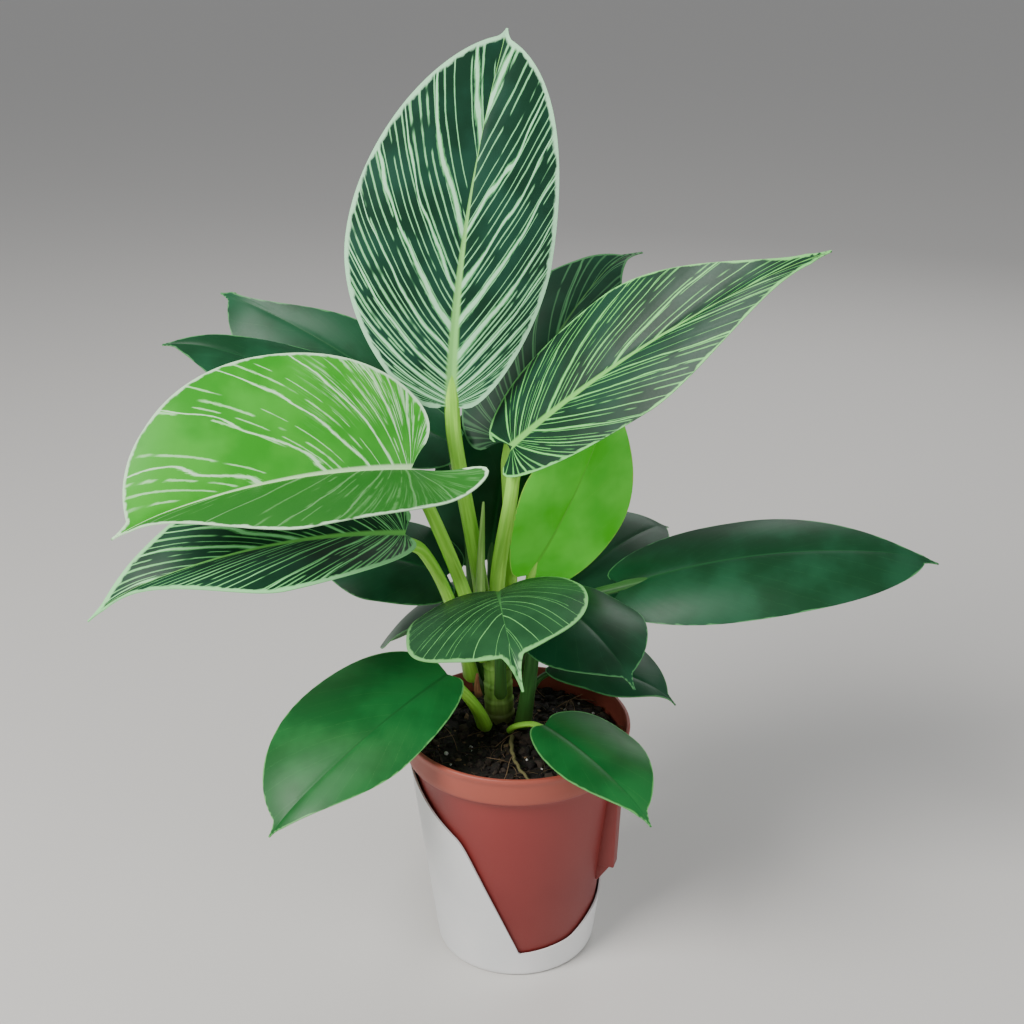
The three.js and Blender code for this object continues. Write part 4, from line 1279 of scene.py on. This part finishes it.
# %% Bed
BED_TOP = 110.8
BED_TONE = 0.25
MOUND = (-8, 14, 1.6)  # place and height of the mound round the stem
bed_profile = [(34, 90), (46, 100), (48.6, 106.7), (50.2, 108.4), (51.2, 109.4), (50.9, 110.3)]
bed_profile += [(r, BED_TOP) for r in np.linspace(49.5, 1.5, 40)]
bed = turned("potting_mix_bed", peat, bed_profile, 140)


def ground(x, y):
    """Height of the mix at a place, in mm: a mound with slow and quick waves on it."""
    slow = noise.noise(Vector((x * 0.09, y * 0.09, 3.1)))
    quick = noise.noise(Vector((x * 0.45, y * 0.45, 7.7)))
    mound = MOUND[2] * math.exp(-((x - MOUND[0]) ** 2 + (y - MOUND[1]) ** 2) / 260)
    return BED_TOP - 0.2 + mound + 0.9 * slow + 0.75 * quick


places = points_of(bed)
for place in places:
    if place[2] > BED_TOP - 0.3:
        place[2] = ground(place[0], place[1]) + 0.5 * noise.noise(Vector(place) * 1.3)
move_points(bed, places)
store(bed, "tone", np.full(len(places), BED_TONE))
smooth(bed, 60)
declare(bed, "potting_soil")
print("bed faces:", len(bed.data.polygons))


# %% Crumb shape
def crumb_shape(material, seed):
    """A lumpy ball of radius 1, which each copy scales to its own size in mm."""
    piece = add_piece("crumb", material, bpy.ops.mesh.primitive_ico_sphere_add,
                      subdivisions=2, radius=1)
    for vertex in piece.data.vertices:
        vertex.co *= 1 + 0.5 * noise.noise(vertex.co * 1.4 + Vector((seed * 5.1, 0, 0)))
    return piece


def turn_about(axis, angle):
    """The matrix that turns rows of points about the Y or the Z axis."""
    c, s = math.cos(angle), math.sin(angle)
    if axis == "Y":
        return np.array([[c, 0, s], [0, 1, 0], [-s, 0, c]])
    return np.array([[c, s, 0], [-s, c, 0], [0, 0, 1]])


print("crumb helpers ready")


# %% Crumbs
def scatter(name, models, count, sizes, flatten, seed, reach=49, sink=0.25):
    """Copies the model shapes over the mix, then joins the copies into one piece."""
    draw = random.Random(seed)
    copies = []
    for _ in range(count):
        model = draw.choice(models)
        copy = model.copy()
        copy.data = model.data.copy()
        bpy.context.scene.collection.objects.link(copy)
        spread = reach * math.sqrt(draw.random())
        turn = draw.uniform(0, 2 * math.pi)
        x, y = spread * math.cos(turn), spread * math.sin(turn)
        size = sizes[0] + (sizes[1] - sizes[0]) * draw.random() ** 2.2
        shape = points_of(copy, 1) * size
        shape *= np.array([1, draw.uniform(0.5, 1), draw.uniform(*flatten)])
        spin, tilt = draw.uniform(0, 2 * math.pi), draw.uniform(-0.5, 0.5)
        shape = shape @ turn_about("Y", tilt) @ turn_about("Z", spin)
        lift = -sink * size + 0.3 * (shape[:, 2].max() - shape[:, 2].min())
        move_points(copy, shape + np.array([x, y, ground(x, y) + lift]))
        store(copy, "tone", np.full(len(shape), draw.random()))
        copies.append(copy)
    select_only(copies[0])
    for copy in copies:
        copy.select_set(True)
    bpy.ops.object.join()
    piece = bpy.context.object
    piece.name = piece.data.name = name
    smooth(piece, 50)
    declare(piece, "potting_soil")
    for model in models:
        bpy.data.objects.remove(model)
    print(name, "faces:", len(piece.data.polygons))


scatter("peat_crumbs", [crumb_shape(peat, k) for k in range(3)], 620, (0.7, 3.0), (0.5, 0.9), 11)
scatter("bark_chips", [crumb_shape(bark, k + 5) for k in range(3)],
        120, (0.6, 2.6), (0.25, 0.45), 12)
scatter("perlite_specks", [crumb_shape(perlite, k + 9) for k in range(2)],
        46, (0.35, 1.3), (0.7, 1.0), 13)


# %% Fibres
FIBRE_RINGS = 12


def fibre_shape(seed):
    """A thin bent thread, 12 long, which each copy scales like a crumb."""
    draw = random.Random(seed)
    knots = [(-6, 0, 0), (-2, draw.uniform(-3, 3), 1.2), (2, draw.uniform(-3, 3), 1.0), (6, 0, 0)]
    half = np.full(FIBRE_RINGS, 0.16)
    half[0] = half[-1] = 0.05
    piece = tube("fibre", bark, curve_points(knots, FIBRE_RINGS), (0, 0, 1), half, half, 5)
    move_points(piece, points_of(piece) / MM)
    for layer in ("round", "share"):
        piece.data.attributes.remove(piece.data.attributes[layer])
    return piece


scatter("bark_fibres", [fibre_shape(k) for k in range(4)],
        150, (0.5, 1.4), (0.8, 1.0), 14, reach=47, sink=-0.6)
